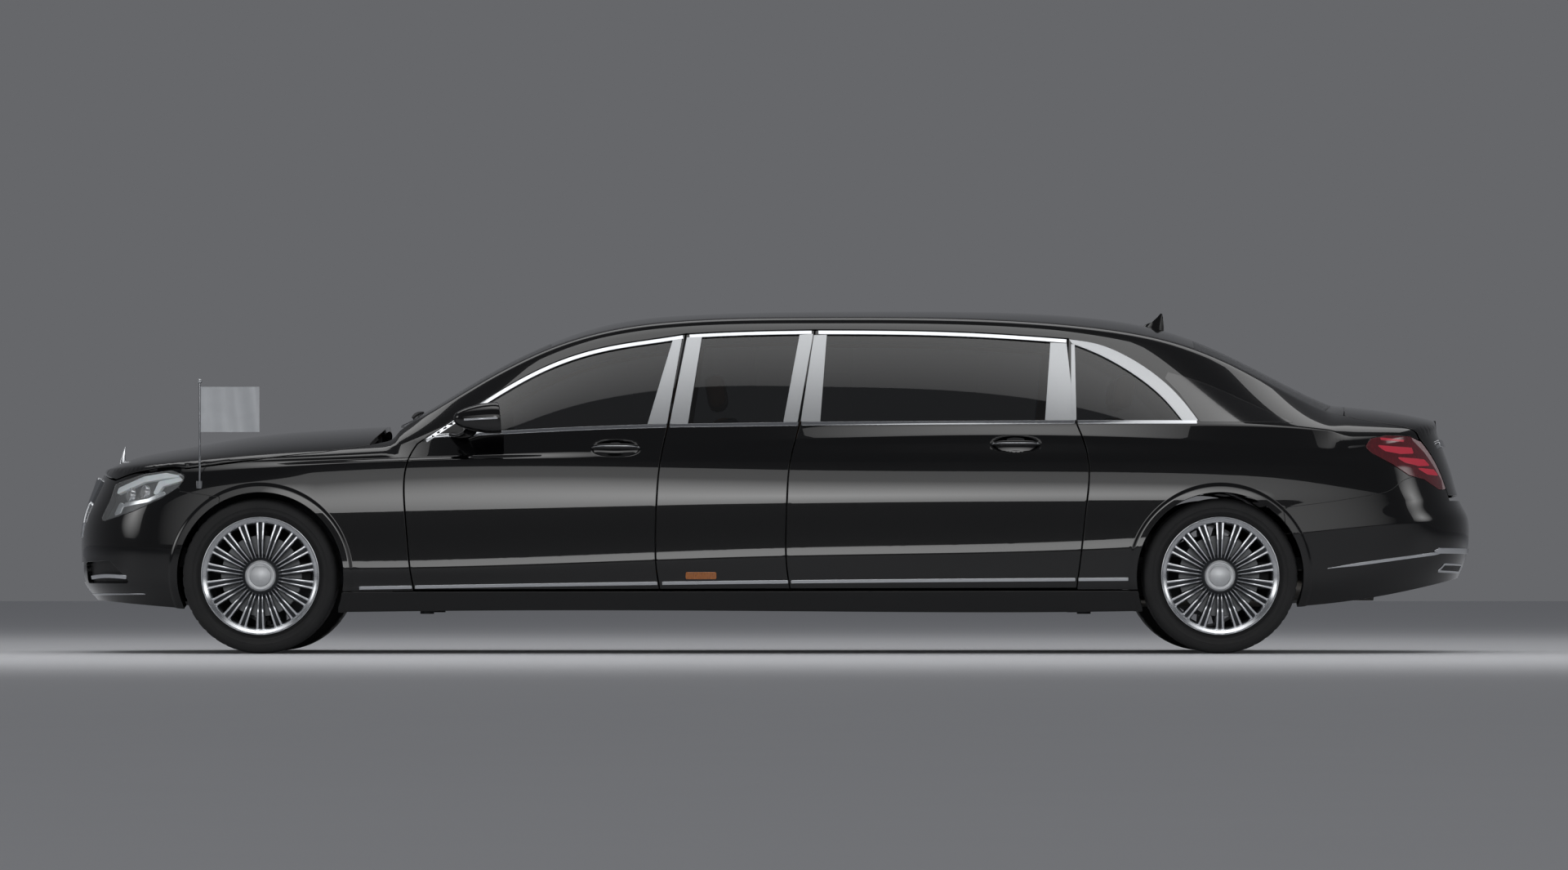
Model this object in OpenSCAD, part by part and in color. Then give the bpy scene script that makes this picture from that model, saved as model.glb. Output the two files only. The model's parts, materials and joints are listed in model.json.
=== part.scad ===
// Stretch limousine: a saloon body with a fixed middle section between its doors, on
// multi-spoke wheels. The front points along -X, the left side along -Y, and the
// ground is z = 0. Lengths are in millimetres.

/* [Overall] */
// Distance between the axles
wheelbase = 4418; // [4300:1:4600]
// Front axle to the foremost point of the bumper
front_overhang = 882; // [870:1:900]
// Rear axle to the rearmost point of the bumper
rear_overhang = 1199; // [1185:1:1220]
// Width over the body sides, without the mirrors
body_width = 1899; // [1880:1:1930]
// Height of the roof's crown above the ground
height = 1598; // [1585:1:1620]

/* [Panels] */
// Thickness of the doors and lower walls
wall = 62; // [55:1:70]
// Thickness of the bonnet and the boot lid
lid_wall = 26; // [20:1:32]
// Gap between panels that open and their neighbours
shut_gap = 6.8; // [6.5:0.1:8]
// Gap at fixed seams and under trim
seam = 0.3; // [0.2:0.05:0.6]
// Thickness of the glass
glass_t = 5; // [4:0.5:7]
// Depth of the glass under the body surface
glass_depth = 6; // [4:0.5:10]

/* [Wheels] */
// Outer radius of the tyres
tyre_r = 358; // [350:1:364]
// Width of the tyres
tyre_w = 245; // [235:1:250]
// Radius of the rim's lip
rim_r = 272; // [262:1:276]
// Distance between the wheels' middle planes
track = 1622; // [1600:1:1634]
// Radius of the wheel arch openings
arch_r = 404; // [400:1:412]

/* [Hidden] */
$fn = 48;
length = front_overhang + wheelbase + rear_overhang;
half_w = body_width / 2;
fa = -length / 2 + front_overhang;
ra = fa + wheelbase;
nose_x = -length / 2;
tail_x = length / 2;
axle_z = tyre_r;
far = 4000;
// The canopy tables are drawn for this half width and this rise from belt to roof
drawn_half = 949.5;
drawn_rise = 543;
belt_z = 1055;
function up(z) = z < belt_z ? z : belt_z + (z - belt_z) * (height - belt_z) / drawn_rise;
function wide(y) = y + half_w - drawn_half;
function share(y) = y * half_w / drawn_half;

// Stations of the body lines: nose, front axle, door post, middle, rear axle, lamp, tail
post_x = fa + 680;
mid_x = (fa + ra) / 2 + 160;
lamp_x = ra + 650;
STATIONS = [nose_x, fa, post_x, mid_x, ra, lamp_x, tail_x];
// Body lines from the sill up. Columns: seven heights at the stations, inset from the
// half width, set-back from the nose, set-back from the tail
LINES = [
    [255, 190, 190, 190, 200, 250, 362, 88, 72, 45],
    [325, 300, 306, 322, 345, 395, 440, 26, 14, 10],
    [450, 392, 388, 440, 512, 580, 625, 14, 0, 0],
    [610, 640, 660, 680, 690, 700, 705, 0, 8, 40],
    [770, 850, 890, 893, 888, 870, 860, 22, 80, 85],
    [838, 885, 905, 978, 968, 950, 1085, 48, 112, 150],
];
TOP_LINE = len(LINES) - 1;
// Stretch of the plan outline that draws in at each end, and its roundness
nose_start = fa + 250;
tail_start = ra - 100;
nose_n = 3.0;
tail_n = 3.3;
// Deck under the canopy. Columns: station, centre height, roundness of the section
DECK = [
    [nose_x, 838, 1.75], [fa - 779, 851, 1.75], [fa - 652, 904, 1.75], [fa - 460, 947, 1.75],
    [fa - 76, 1015, 1.75], [fa + 309, 1046, 1.8], [fa + 600, 1060, 1.9], [fa + 1000, 1190, 2.2],
    [fa + 1500, 1210, 2.3], [ra - 600, 1210, 2.3], [ra + 100, 1200, 2.3], [ra + 556, 1158, 2.2],
    [ra + 799, 1132, 2.2], [ra + 965, 1104, 2.2], [tail_x - 150, 1086, 2.2], [tail_x, 1060, 2.2],
];
// Canopy. Columns: station, base inset from the shoulder, base height, rail half width,
// rail height, centre height
CANOPY = [
    [fa + 587, 60, 955, 690, 1022, 1048], [fa + 717, 50, 985, 712, 1085, 1117],
    [fa + 967, 43, 1008, 668, 1232, 1270], [fa + 1297, 40, 1030, 622, 1402, 1441],
    [fa + 1587, 39, 1040, 598, 1492, 1537], [fa + 1977, 39, 1050, 586, 1542, 1583],
    [fa + 2567, 39, 1055, 581, 1555, 1598], [ra - 1084, 39, 1057, 578, 1546, 1597],
    [ra - 561, 41, 1057, 572, 1506, 1569], [ra - 121, 43, 1057, 562, 1416, 1477],
    [ra + 129, 46, 1055, 560, 1312, 1368], [ra + 349, 50, 1048, 575, 1196, 1256],
    [ra + 509, 56, 1035, 600, 1120, 1180], [ra + 589, 60, 1028, 620, 1092, 1150],
];

// Curves through tables
function seg(t, x, i = 0) = i >= len(t) - 2 || x < t[i + 1][0] ? i : seg(t, x, i + 1);
function slope(t, i, c) =
    let(a = max(i - 1, 0), b = min(i + 1, len(t) - 1)) (t[b][c] - t[a][c]) / (t[b][0] - t[a][0]);
function hermite(p, q, m, n, h, u) =
    p * (2 * u ^ 3 - 3 * u ^ 2 + 1) + m * h * (u ^ 3 - 2 * u ^ 2 + u)
    + q * (3 * u ^ 2 - 2 * u ^ 3) + n * h * (u ^ 3 - u ^ 2);
function curve(t, x, c = 1) =
    let(i = seg(t, x), h = t[i + 1][0] - t[i][0], u = min(1, max(0, (x - t[i][0]) / h)))
    hermite(t[i][c], t[i + 1][c], slope(t, i, c), slope(t, i + 1, c), h, u);
function mix(a, b, t) = a + (b - a) * t;
// Smooth polyline through a few points
function tangent(p, i) = (p[min(i + 1, len(p) - 1)] - p[max(i - 1, 0)]) / 2;
function through(p, n = 2) = [
    for (i = [0:len(p) - 2], k = [0:n - 1])
        hermite(p[i], p[i + 1], tangent(p, i), tangent(p, i + 1), 1, k / n),
    p[len(p) - 1],
];
function from_front(p) = [for (q = p) [fa + q[0], q[1]]];
function from_rear(p) = [for (q = p) [ra + q[0], q[1]]];
function both_sides(p) = concat(p, [for (i = [len(p) - 1:-1:0]) [p[i][0], -p[i][1]]]);
function reversed(p) = [for (i = [len(p) - 1:-1:0]) p[i]];

// Lower body: rows of plan outlines, closed over the top by the deck
function line_z(j, x) = curve([for (i = [0:6]) [STATIONS[i], LINES[j][i]]], x);
function nose_at(j, o) = nose_x + LINES[j][8] - o;
function tail_at(j, o) = tail_x - LINES[j][9] + o;
function half_at(j, o) = half_w - LINES[j][7] + o;
// Columns along the outline: [end, angle or station]
NOSE_ANGLES = [89, 79, 67, 54, 41, 26];
SIDE_STATIONS = [
    nose_start, fa + 587, fa + 717, fa + 967, fa + 1297, fa + 1587, fa + 1977, mid_x, ra - 1084, ra - 561,
    tail_start,
];
TAIL_ANGLES = [4, 12, 22, 31, 43, 54, 64, 73, 81, 89];
COLUMNS = [
    for (a = NOSE_ANGLES) [-1, a],
    for (x = SIDE_STATIONS) [0, x],
    for (a = TAIL_ANGLES) [1, a],
];
// The inner face of the walls takes fewer columns and rows
INNER_COLUMNS = [
    for (a = [89, 67, 41]) [-1, a],
    for (x = [nose_start, fa + 587, fa + 967, fa + 1587, mid_x, ra - 561]) [0, x],
    for (a = [4, 12, 22, 31, 54, 73, 89]) [1, a],
];
INNER_ROWS = [0, 1, 3, 4, 6, 7, 9, 10, 13];
function column_x(c, j, o) =
    c[0] == 0 ? c[1]
    : c[0] < 0 ? nose_start - (nose_start - nose_at(j, o)) * sin(c[1]) ^ (2 / nose_n)
    : tail_start + (tail_at(j, o) - tail_start) * sin(c[1]) ^ (2 / tail_n);
function column_y(c, j, o) =
    half_at(j, o) * (c[0] == 0 ? 1 : cos(c[1]) ^ (2 / (c[0] < 0 ? nose_n : tail_n)));
// Shares of the section: deck from shoulder to middle, canopy side, canopy top
DECK_SHARES = [0.985, 0.93, 0.83, 0.68, 0.48, 0.24, 0];
SIDE_SHARES = [0, 0.42, 0.82];
TOP_SHARES = [0.84, 0.45, 0];
side_bulge = 16;
CANOPY_END = len(CANOPY) - 1;
function under_canopy(x) = x >= CANOPY[0][0] && x <= CANOPY[CANOPY_END][0];
function canopy_rows(x, y, t) =
    let(yb = y - curve(CANOPY, x, 1), zb = curve(CANOPY, x, 2), yr = wide(curve(CANOPY, x, 3)) + t,
        zr = up(curve(CANOPY, x, 4)) + t, zc = up(curve(CANOPY, x, 5)) + t,
        side = [for (s = SIDE_SHARES) [mix(yb, yr, s) + side_bulge * 4 * s * (1 - s), mix(zb, zr, s)]],
        top = [for (q = TOP_SHARES) [yr * q, zr + (zc - zr) * (1 - q * q)]],
        a = side[len(side) - 1], b = top[0])
    [for (p = concat(side, [a / 4 + [yr, zr] / 2 + b / 4], top)) [x, p[0], p[1]]];
function deck_rows(x, y, z, t) =
    let(m = curve(DECK, x, 2), zc = curve(DECK, x) + t)
    [for (q = DECK_SHARES) [x, y * q, z + (zc - z) * (1 - q ^ m) ^ (1 / m)]];
// Height of the bonnet or boot deck at a station and a distance from the middle
function deck_z(x, y) =
    let(t = x > 0 ? ((x - tail_start) / (tail_at(TOP_LINE, 0) - tail_start)) ^ tail_n
            : (max(0, nose_start - x) / (nose_start - nose_at(TOP_LINE, 0))) ^ nose_n,
        w = half_at(TOP_LINE, 0) * (1 - t) ^ (1 / (x > 0 ? tail_n : nose_n)),
        m = curve(DECK, x, 2), z = line_z(TOP_LINE, x))
    z + (curve(DECK, x) - z) * (1 - min(1, y / w) ^ m) ^ (1 / m);
// One half rib for a column, from the bottom middle to the top middle; o is the offset of
// the lower body from the outer surface, t that of the roof and lids, drop lowers the bottom
function rib(c, o, t, drop) =
    let(xt = column_x(c, TOP_LINE, o), yt = column_y(c, TOP_LINE, o),
        zt = line_z(TOP_LINE, column_x(c, TOP_LINE, 0)) + (under_canopy(xt) ? 0 : t),
        zs = line_z(0, column_x(c, 0, 0)) - drop)
    concat(
        [[column_x(c, 0, o), 0, zs], [column_x(c, 0, o), column_y(c, 0, o), zs]],
        [for (j = [1:TOP_LINE - 1]) [
            column_x(c, j, o), column_y(c, j, o), line_z(j, column_x(c, j, 0)),
        ]],
        [[xt, yt, zt]],
        under_canopy(xt) ? canopy_rows(xt, column_y(c, TOP_LINE, t), t) : deck_rows(xt, yt, zt, t)
    );
// Closed solid from half ribs of equal length that start and end on the middle plane
module ribbed(ribs) {
    n = len(ribs[0]);
    m = 2 * n - 2;
    points = [for (r = ribs, k = [0:m - 1]) k < n ? r[k] : [r[m - k][0], -r[m - k][1], r[m - k][2]]];
    e = (len(ribs) - 1) * m;
    faces = concat(
        [for (i = [0:len(ribs) - 2], k = [0:m - 1])
            [i * m + k, (i + 1) * m + k, (i + 1) * m + (k + 1) % m, i * m + (k + 1) % m]],
        [for (k = [0:n - 2]) [k, k + 1, (m - k - 1) % m, (m - k) % m]],
        [for (k = [0:n - 2]) [e + k, e + (m - k) % m, e + (m - k - 1) % m, e + k + 1]]
    );
    polyhedron(points, faces, convexity = 6);
}
module skin(o = 0, t = 0, drop = 0) ribbed([for (c = COLUMNS) rib(c, o, t, drop)]);
module inner_skin(o, t)
    ribbed([for (c = INNER_COLUMNS, r = [rib(c, -o, -t, 60)]) [for (k = INNER_ROWS) r[k]]]);

// Shut lines and outlines in side view, each from bottom to top or front to rear
FRONT_EDGE = through(from_front([
    [707, 293], [692, 377], [677, 528], [665, 678], [669, 847], [692, 919], [722, up(967)],
]));
B_LINE = through(from_front([
    [1839, 295], [1824, 385], [1819, 490], [1824, 690], [1840, 878], [1876, 1055], [1957, up(1478)],
]));
C_LINE = through(from_rear([
    [-1980, 297], [-1995, 402], [-1999, 490], [-1993, 716], [-1980, 878], [-1936, 1055], [-1863, up(1497)],
]));
REAR_EDGE = through(from_rear([
    [-660, 300], [-636, 496], [-617, 671], [-603, 835], [-624, 970], [-660, 1065], [-690, up(1456)],
]));
ROOF_FRONT = through(from_front([
    [722, up(967)], [1015, up(1163)], [1352, up(1347)], [1579, up(1417)], [1855, up(1462)], [1957, up(1478)],
]));
ROOF_MID = through([
    [fa + 1957, up(1478)], [fa + 2108, up(1486)], [ra - 1863, up(1497)],
]);
ROOF_REAR = through(from_rear([
    [-1863, up(1497)], [-1380, up(1493)], [-1005, up(1478)], [-690, up(1456)],
]));
BONNET_EDGE = from_front([
    [-900, 826], [-760, 820], [-689, 797], [-538, 842], [-413, 857], [-338, 848], [-81, 883], [108, 910],
    [345, 936], [500, 962], [560, 1000], [560, 1300], [-900, 1300],
]);
HEADLAMP = from_front([
    [-768, 597], [-716, 700], [-689, 786], [-538, 831], [-413, 846], [-341, 820], [-379, 767], [-462, 714],
    [-594, 657],
]);
TAIL_LAMP = from_rear([
    [672, 955], [702, 993], [778, 1008], [892, 1004], [957, 978], [1021, 902], [1071, 807], [1090, 757],
    [1044, 750], [957, 803], [881, 822], [805, 871], [702, 926],
]);
FRONT_BUMPER = from_front([[-185, 719], [-373, 746], [-400, 832], [-1000, 832], [-1000, 80], [-185, 80]]);
REAR_BUMPER = from_rear([
    [292, 671], [556, 705], [718, 732], [794, 754], [858, 800], [957, 815],
    [1300, 815], [1300, 80], [292, 80],
]);
SILL = [[fa + 340, 80], [fa + 340, 287], [ra - 340, 294], [ra - 340, 80]];
// Window openings. Columns of the pillar lines: foot, head
// Height of the frame over a front window
frame_h = 20;
WINDOW_FRONT = concat(
    from_front([[930, 1016]]),
    [for (p = from_front([[930, 1104], [1165, 1256], [1352, 1345], [1579, 1416], [1855, 1462], [1896, 1467]]))
        [p[0], up(p[1]) - frame_h]],
    from_front([[1783, 1054]])
);
WINDOW_MID = concat(
    from_front([[1969, up(1056)], [2032, up(1464)]]), from_rear([[-1932, up(1478)], [-2011, up(1064)]])
);
WINDOW_REAR = from_rear([
    [-1839, up(1066)], [-1807, up(1478)], [-1380, up(1473)], [-1005, up(1458)],
    [-772, up(1441)], [-803, up(1072)],
]);
WINDOW_QUARTER = from_rear([
    [-655, up(1074)], [-672, up(1434)], [-580, up(1398)], [-460, up(1336)],
    [-350, up(1262)], [-255, up(1178)],
    [-170, up(1074)],
]);
// Plan outlines of the glass, roof and lids
WINDSCREEN = both_sides(from_front([
    [607, 0], [622, 300], [660, 520], [730, wide(690)], [1330, wide(568)], [1322, 300], [1318, 0],
]));
ROOF = both_sides(concat(
    from_front([[1318, 0], [1322, 300], [1330, wide(568)], [1800, wide(540)]]),
    from_rear([[-900, wide(534)], [-98, wide(538)], [-94, 300], [-90, 0]])
));
REAR_WINDOW = both_sides(from_rear([
    [-90, 0], [-94, 300], [-98, wide(538)], [300, wide(556)], [505, wide(580)], [535, 400], [556, 0],
]));
// Inner edge of the tail lamps, beside the boot lid
lid_half = 566;
lamp_in = wide(lid_half) + 6;
BOOT_LID = both_sides(from_rear([
    [612, 0], [604, 400], [590, wide(600)], [640, wide(645)], [900, wide(640)], [1000, wide(590)],
    [1060, wide(lid_half)], [1400, wide(lid_half)], [1400, 0],
]));

module side_cut(d = 0, reach = far)
    rotate([90, 0, 0]) linear_extrude(2 * reach, center = true) offset(delta = d) children();
module plan_cut(d = 0) translate([0, 0, -100]) linear_extrude(3000) offset(delta = d) children();
module left_half() intersection() {
    children();
    translate([-far, -far, -far]) cube([2 * far, far, 2 * far]);
}
// Gathers shapes into one shape
module joined() resize([0, 0, 0]) children();
// Applies to the left side, or mirrored to the right
module on_side(side) mirror([0, side > 0 ? 1 : 0, 0]) children();
module both() for (side = [-1, 1]) on_side(side) children();

module arches() for (x = [fa, ra])
    translate([x, 0, axle_z]) rotate([90, 0, 0]) cylinder(r = arch_r, h = far, center = true);
module shell() difference() {
    skin();
    inner_skin(wall, lid_wall);
    arches();
}
module layer(outer, inner) difference() {
    skin(outer, outer, outer);
    skin(inner, inner, 60);
    arches();
}
// Beside the tail lamps the lid is only a deck; between them it reaches down to its foot
lid_deck_z = 985;
lid_foot_z = 715;
module lid_plan(d = 0) intersection() {
    plan_cut(d) polygon(BOOT_LID);
    union() {
        translate([-far, -far, lid_deck_z - d]) cube(2 * far);
        translate([-far, -wide(lid_half) - d, lid_foot_z - d]) cube([2 * far, 2 * (wide(lid_half) + d), far]);
    }
}

paint = "#15171a";
glass = "#1b2228";
bright = "#c9ccd0";

// Doors: shell, hinge pockets and barrels
hinge_back = 120;
hinge_in = 20;
pin_r = 5;
HINGE_Z = [560, 760];
hinge_y = -(half_w - hinge_in);
hinge_front_x = fa + 665 + hinge_back;
hinge_rear_x = ra - 1999 + hinge_back;
module door(side, hinge_x) color(paint) joined() on_side(side) left_half() difference() {
    intersection() {
        shell();
        side_cut(-shut_gap / 2) children(0);
    }
    side_cut() children(1);
    for (z = HINGE_Z) {
        translate([hinge_x - 200, hinge_y - 7, z - 24]) cube([222, 400, 48]);
        translate([hinge_x, hinge_y, z - 45]) cylinder(r = pin_r + 0.3, h = 90, $fn = 24);
    }
}
module front_door(side) door(side, hinge_front_x) {
    polygon(concat(FRONT_EDGE, ROOF_FRONT, reversed(B_LINE)));
    polygon(WINDOW_FRONT);
}
module rear_door(side) door(side, hinge_rear_x) {
    polygon(concat(C_LINE, ROOF_REAR, reversed(REAR_EDGE)));
    polygon(WINDOW_REAR);
}
module pane(side) color(glass) joined() on_side(side) left_half() intersection() {
    difference() {
        skin(-glass_depth, -glass_depth);
        skin(-glass_depth - glass_t, -glass_depth - glass_t, 60);
    }
    side_cut(-seam) children();
}
module front_door_left() front_door(-1);
module front_door_right() front_door(1);
module rear_door_left() rear_door(-1);
module rear_door_right() rear_door(1);
module front_glass_left() pane(-1) polygon(WINDOW_FRONT);
module front_glass_right() pane(1) polygon(WINDOW_FRONT);
module rear_glass_left() pane(-1) polygon(WINDOW_REAR);
module rear_glass_right() pane(1) polygon(WINDOW_REAR);
module fixed_glass() for (s = [-1, 1]) {
    pane(s) polygon(WINDOW_MID);
    pane(s) polygon(WINDOW_QUARTER);
}

// Fixed panels
module door_cuts() {
    side_cut(shut_gap / 2) polygon(concat(FRONT_EDGE, ROOF_FRONT, reversed(B_LINE)));
    side_cut(shut_gap / 2) polygon(concat(C_LINE, ROOF_REAR, reversed(REAR_EDGE)));
}
module lamp_cut(points, inner, d = 0) intersection() {
    side_cut(d) polygon(points);
    for (s = [-1, 1]) translate([-far, s > 0 ? inner - d : -far, 0]) cube([2 * far, far - inner + d, far]);
}
module mid_panels() color(paint) joined() difference() {
    intersection() {
        shell();
        side_cut() polygon(concat(
            [B_LINE[0] - [0, 60]], B_LINE, ROOF_MID, reversed(C_LINE), [C_LINE[0] - [0, 60]]
        ));
    }
    door_cuts();
    side_cut(seam) polygon(SILL);
    side_cut() polygon(WINDOW_MID);
}
module sills() color(paint) joined() difference() {
    union() {
        intersection() {
            shell();
            side_cut(-seam) polygon(SILL);
        }
        both() translate([fa + 680, -floor_half - 61, 196]) cube([ra - fa - 1360, 60, 84]);
    }
    arches();
}
module body_sides() color(paint) joined() difference() {
    intersection() {
        shell();
        side_cut() polygon(concat(
            reversed(FRONT_EDGE), [[fa + 760, 80], [tail_x + 50, 80], [tail_x + 50, 1700], [fa + 560, 1700],
            [fa + 620, 1060]]
        ));
    }
    door_cuts();
    side_cut(seam) polygon(concat(B_LINE, ROOF_MID, reversed(C_LINE)));
    side_cut(seam) polygon(SILL);
    side_cut(seam) polygon(REAR_BUMPER);
    side_cut() polygon(WINDOW_QUARTER);
    plan_cut(seam) polygon(WINDSCREEN);
    plan_cut(seam) polygon(ROOF);
    plan_cut(seam) polygon(REAR_WINDOW);
    lid_plan(shut_gap);
    lamp_cut(TAIL_LAMP, lamp_in, seam);
    cowl_cut(seam);
    side_cut() polygon(concat(
        [for (z = [80, 320]) [fa + 600, z]], [for (z = [320, 80]) [ra - 660 + shut_gap / 2, z]]
    ));
    deck_cut(seam);
    translate([ra + 945, -wide(lid_half) - 80, lid_foot_z]) cube([100, 2 * wide(lid_half) + 160, 290]);
}
module deck_cut(d = 0) translate([ra + 480, -wide(560) - d, 1000]) cube([160, 2 * wide(560) + 2 * d, 300]);
module rear_deck() color(paint) joined() difference() {
    intersection() {
        shell();
        deck_cut();
    }
    plan_cut(seam) polygon(REAR_WINDOW);
    lid_plan(shut_gap);
}
module cowl_cut(d = 0) translate([fa + 572 - d, -wide(655) - d, 900])
    cube([175 + 2 * d, 2 * wide(655) + 2 * d, 400]);
module cowl() color("#101010") joined() difference() {
    intersection() {
        shell();
        cowl_cut();
    }
    plan_cut(seam) polygon(WINDSCREEN);
    bonnet_swing(bonnet_reach);
}
module roof() color(paint) joined() intersection() {
    difference() {
        skin();
        inner_skin(wall, lid_wall);
    }
    plan_cut(-seam) polygon(ROOF);
}
module screen(points) color(glass) joined() intersection() {
    difference() {
        skin(-1, -1);
        skin(-1, -1 - glass_t - 2, 60);
    }
    plan_cut(-seam) polygon(points);
}
module windscreen() screen(WINDSCREEN);
module rear_window() screen(REAR_WINDOW);
module fenders() color(paint) joined() difference() {
    intersection() {
        shell();
        side_cut(0) polygon(concat(
            [[fa - 410, 290]], [for (p = FRONT_EDGE) p - [shut_gap, 0]], [[fa + 620 - seam, 1060],
            [fa + 560, 1200], [fa - 410, 1200]]
        ));
    }
    side_cut(shut_gap / 2) polygon(BONNET_EDGE);
    side_cut(seam) polygon(FRONT_BUMPER);
    side_cut(seam) polygon(SILL);
    side_cut(seam) polygon(HEADLAMP);
    translate([fa + 480, -wide(655) - seam, 800]) cube([300, 2 * wide(655) + 2 * seam, 500]);
    bonnet_swing(bonnet_reach - 14);
}
module lid_pockets(p, rearward, hinge_y, top) for (y = [-hinge_y, hinge_y]) translate([p[0], y, p[1]]) {
    translate([rearward > 0 ? -14 : -200, -24, -200]) cube([214, 48, 200 + top]);
    rotate([90, 0, 0]) cylinder(r = pin_r + 0.3, h = 90, center = true, $fn = 24);
}
module bonnet() color(paint) joined() difference() {
    intersection() {
        shell();
        side_cut(-shut_gap / 2) polygon(BONNET_EDGE);
    }
    lid_pockets(bonnet_axis, 1, lid_hinge_y, pin_r + 3);
}
module headlamps() color("#9aa3ab") joined() intersection() {
    shell();
    lamp_cut(HEADLAMP, share(420), -seam);
}
// Corner intakes in the side view, and the middle intake from the front
INTAKE = from_front([[-900, 322], [-900, 424], [-712, 430], [-650, 372], [-606, 322]]);
MIDDLE_INTAKE = [[-share(380), 330], [-share(400), 420], [share(400), 420], [share(380), 330]];
module front_bumper() color(paint) joined() difference() {
    intersection() {
        shell();
        side_cut() polygon(FRONT_BUMPER);
    }
    lamp_cut(INTAKE, share(470));
    from_the_front(MIDDLE_INTAKE);
    side_cut(shut_gap / 2) polygon(BONNET_EDGE);
    lamp_cut(HEADLAMP, share(420), seam);
    grille_cut(seam);
}
// Grille outline from the front: half widths and heights of its right side
GRILLE_SIDE = [[share(372), 540], [share(400), 600], [share(398), 700], [share(360), 815]];
GRILLE = concat(GRILLE_SIDE, [for (p = reversed(GRILLE_SIDE)) [-p[0], p[1]]]);
BARS = [595, 650, 705, 760];
module from_the_front(points, d = 0) translate([nose_x - 100, 0, 0]) rotate([90, 0, 90]) linear_extrude(500)
    offset(delta = d) polygon(points);
module grille_cut(d = 0) from_the_front(GRILLE, d);
module grille() color(bright) joined() difference() {
    intersection() {
        difference() {
            skin(8, 4);
            skin(-36, -30, 60);
        }
        grille_cut();
    }
    translate([nose_x - 200, 0, 0]) rotate([90, 0, 90]) linear_extrude(700) difference() {
        offset(delta = -34) polygon(GRILLE);
        for (z = BARS) translate([-half_w, z - 9]) square([2 * half_w, 18]);
        translate([-9, 500]) square([18, 400]);
    }
    side_cut(shut_gap / 2) polygon(BONNET_EDGE);
}
module boot_lid() color(paint) joined() difference() {
    intersection() {
        shell();
        lid_plan();
    }
    lid_pockets(boot_axis, -1, boot_hinge_y, pin_r + 1.5);
}
module tail_lamps() color("#7a1014") joined() difference() {
    intersection() {
        shell();
        lamp_cut(TAIL_LAMP, lamp_in);
    }
    lid_plan(shut_gap);
}
module rear_bumper() color(paint) joined() difference() {
    intersection() {
        shell();
        side_cut(0) polygon(REAR_BUMPER);
    }
    lid_plan(shut_gap);
    lamp_cut(TAIL_LAMP, lamp_in, seam);
}

// Hinges: brackets and pins that the doors and lids turn on
lid_axis_drop = 16;
bonnet_axis = [fa + 532, deck_z(fa + 532, 480) - lid_axis_drop];
lid_hinge_y = 480;
// The boot lid's hinges sit high and near the middle, so that its front edge stays clear of the deck
boot_axis_drop = 9;
boot_hinge_y = 150;
boot_post = 4;
boot_axis = [ra + 664, deck_z(ra + 664, boot_hinge_y) - boot_axis_drop];
module hinge_pin(z0, h) translate([0, 0, z0]) cylinder(r = pin_r, h = h);
module lid_pin(p, y) translate([p[0], y, p[1]]) rotate([90, 0, 0])
    cylinder(r = pin_r, h = 84, center = true);
module door_hinges() color("#3a3d40") both() for (x = [hinge_front_x, hinge_rear_x]) {
    translate([x, hinge_y, 0]) for (z = HINGE_Z) union() {
        hinge_pin(z - 43, 86);
        translate([-arm_half, -3, z - 12]) cube([2 * arm_half, post_in + 3 - seam, 24]);
    }
    translate([x - 70, hinge_y + post_in, floor_top + seam]) cube([80, 70, 640]);
}
module lid_hinges() color("#3a3d40") both() mirror([0, 1, 0]) {
    union() {
        lid_pin(bonnet_axis, lid_hinge_y);
        translate([bonnet_axis[0] - 9, lid_hinge_y - 12, 860]) cube([18, 24, bonnet_axis[1] - 860]);
        translate([bonnet_axis[0] - 9, lid_hinge_y - 12, 860])
            cube([fa + 600 - seam - bonnet_axis[0] + 9, 24, 30]);
    }
    union() {
        lid_pin(boot_axis, boot_hinge_y);
        translate([boot_axis[0] - boot_post, boot_hinge_y - 12, shelf_z + 20 + seam])
            cube([2 * boot_post, 24, boot_axis[1] - shelf_z - 20 - seam]);
        translate([ra + 560, boot_hinge_y - 12, shelf_z + 20 + seam])
            cube([boot_axis[0] + boot_post - ra - 560, 24, 24]);
    }
}
post_in = 150;
// Half width of a door's hinge arm, within the pocket that it turns in
arm_half = 6;
// Reach of the bonnet's back edge round its axis
bonnet_reach = 62;
module bonnet_swing(r) translate([bonnet_axis[0], 0, bonnet_axis[1]]) rotate([90, 0, 0])
    cylinder(r = r, h = far, center = true, $fn = 64);

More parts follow.
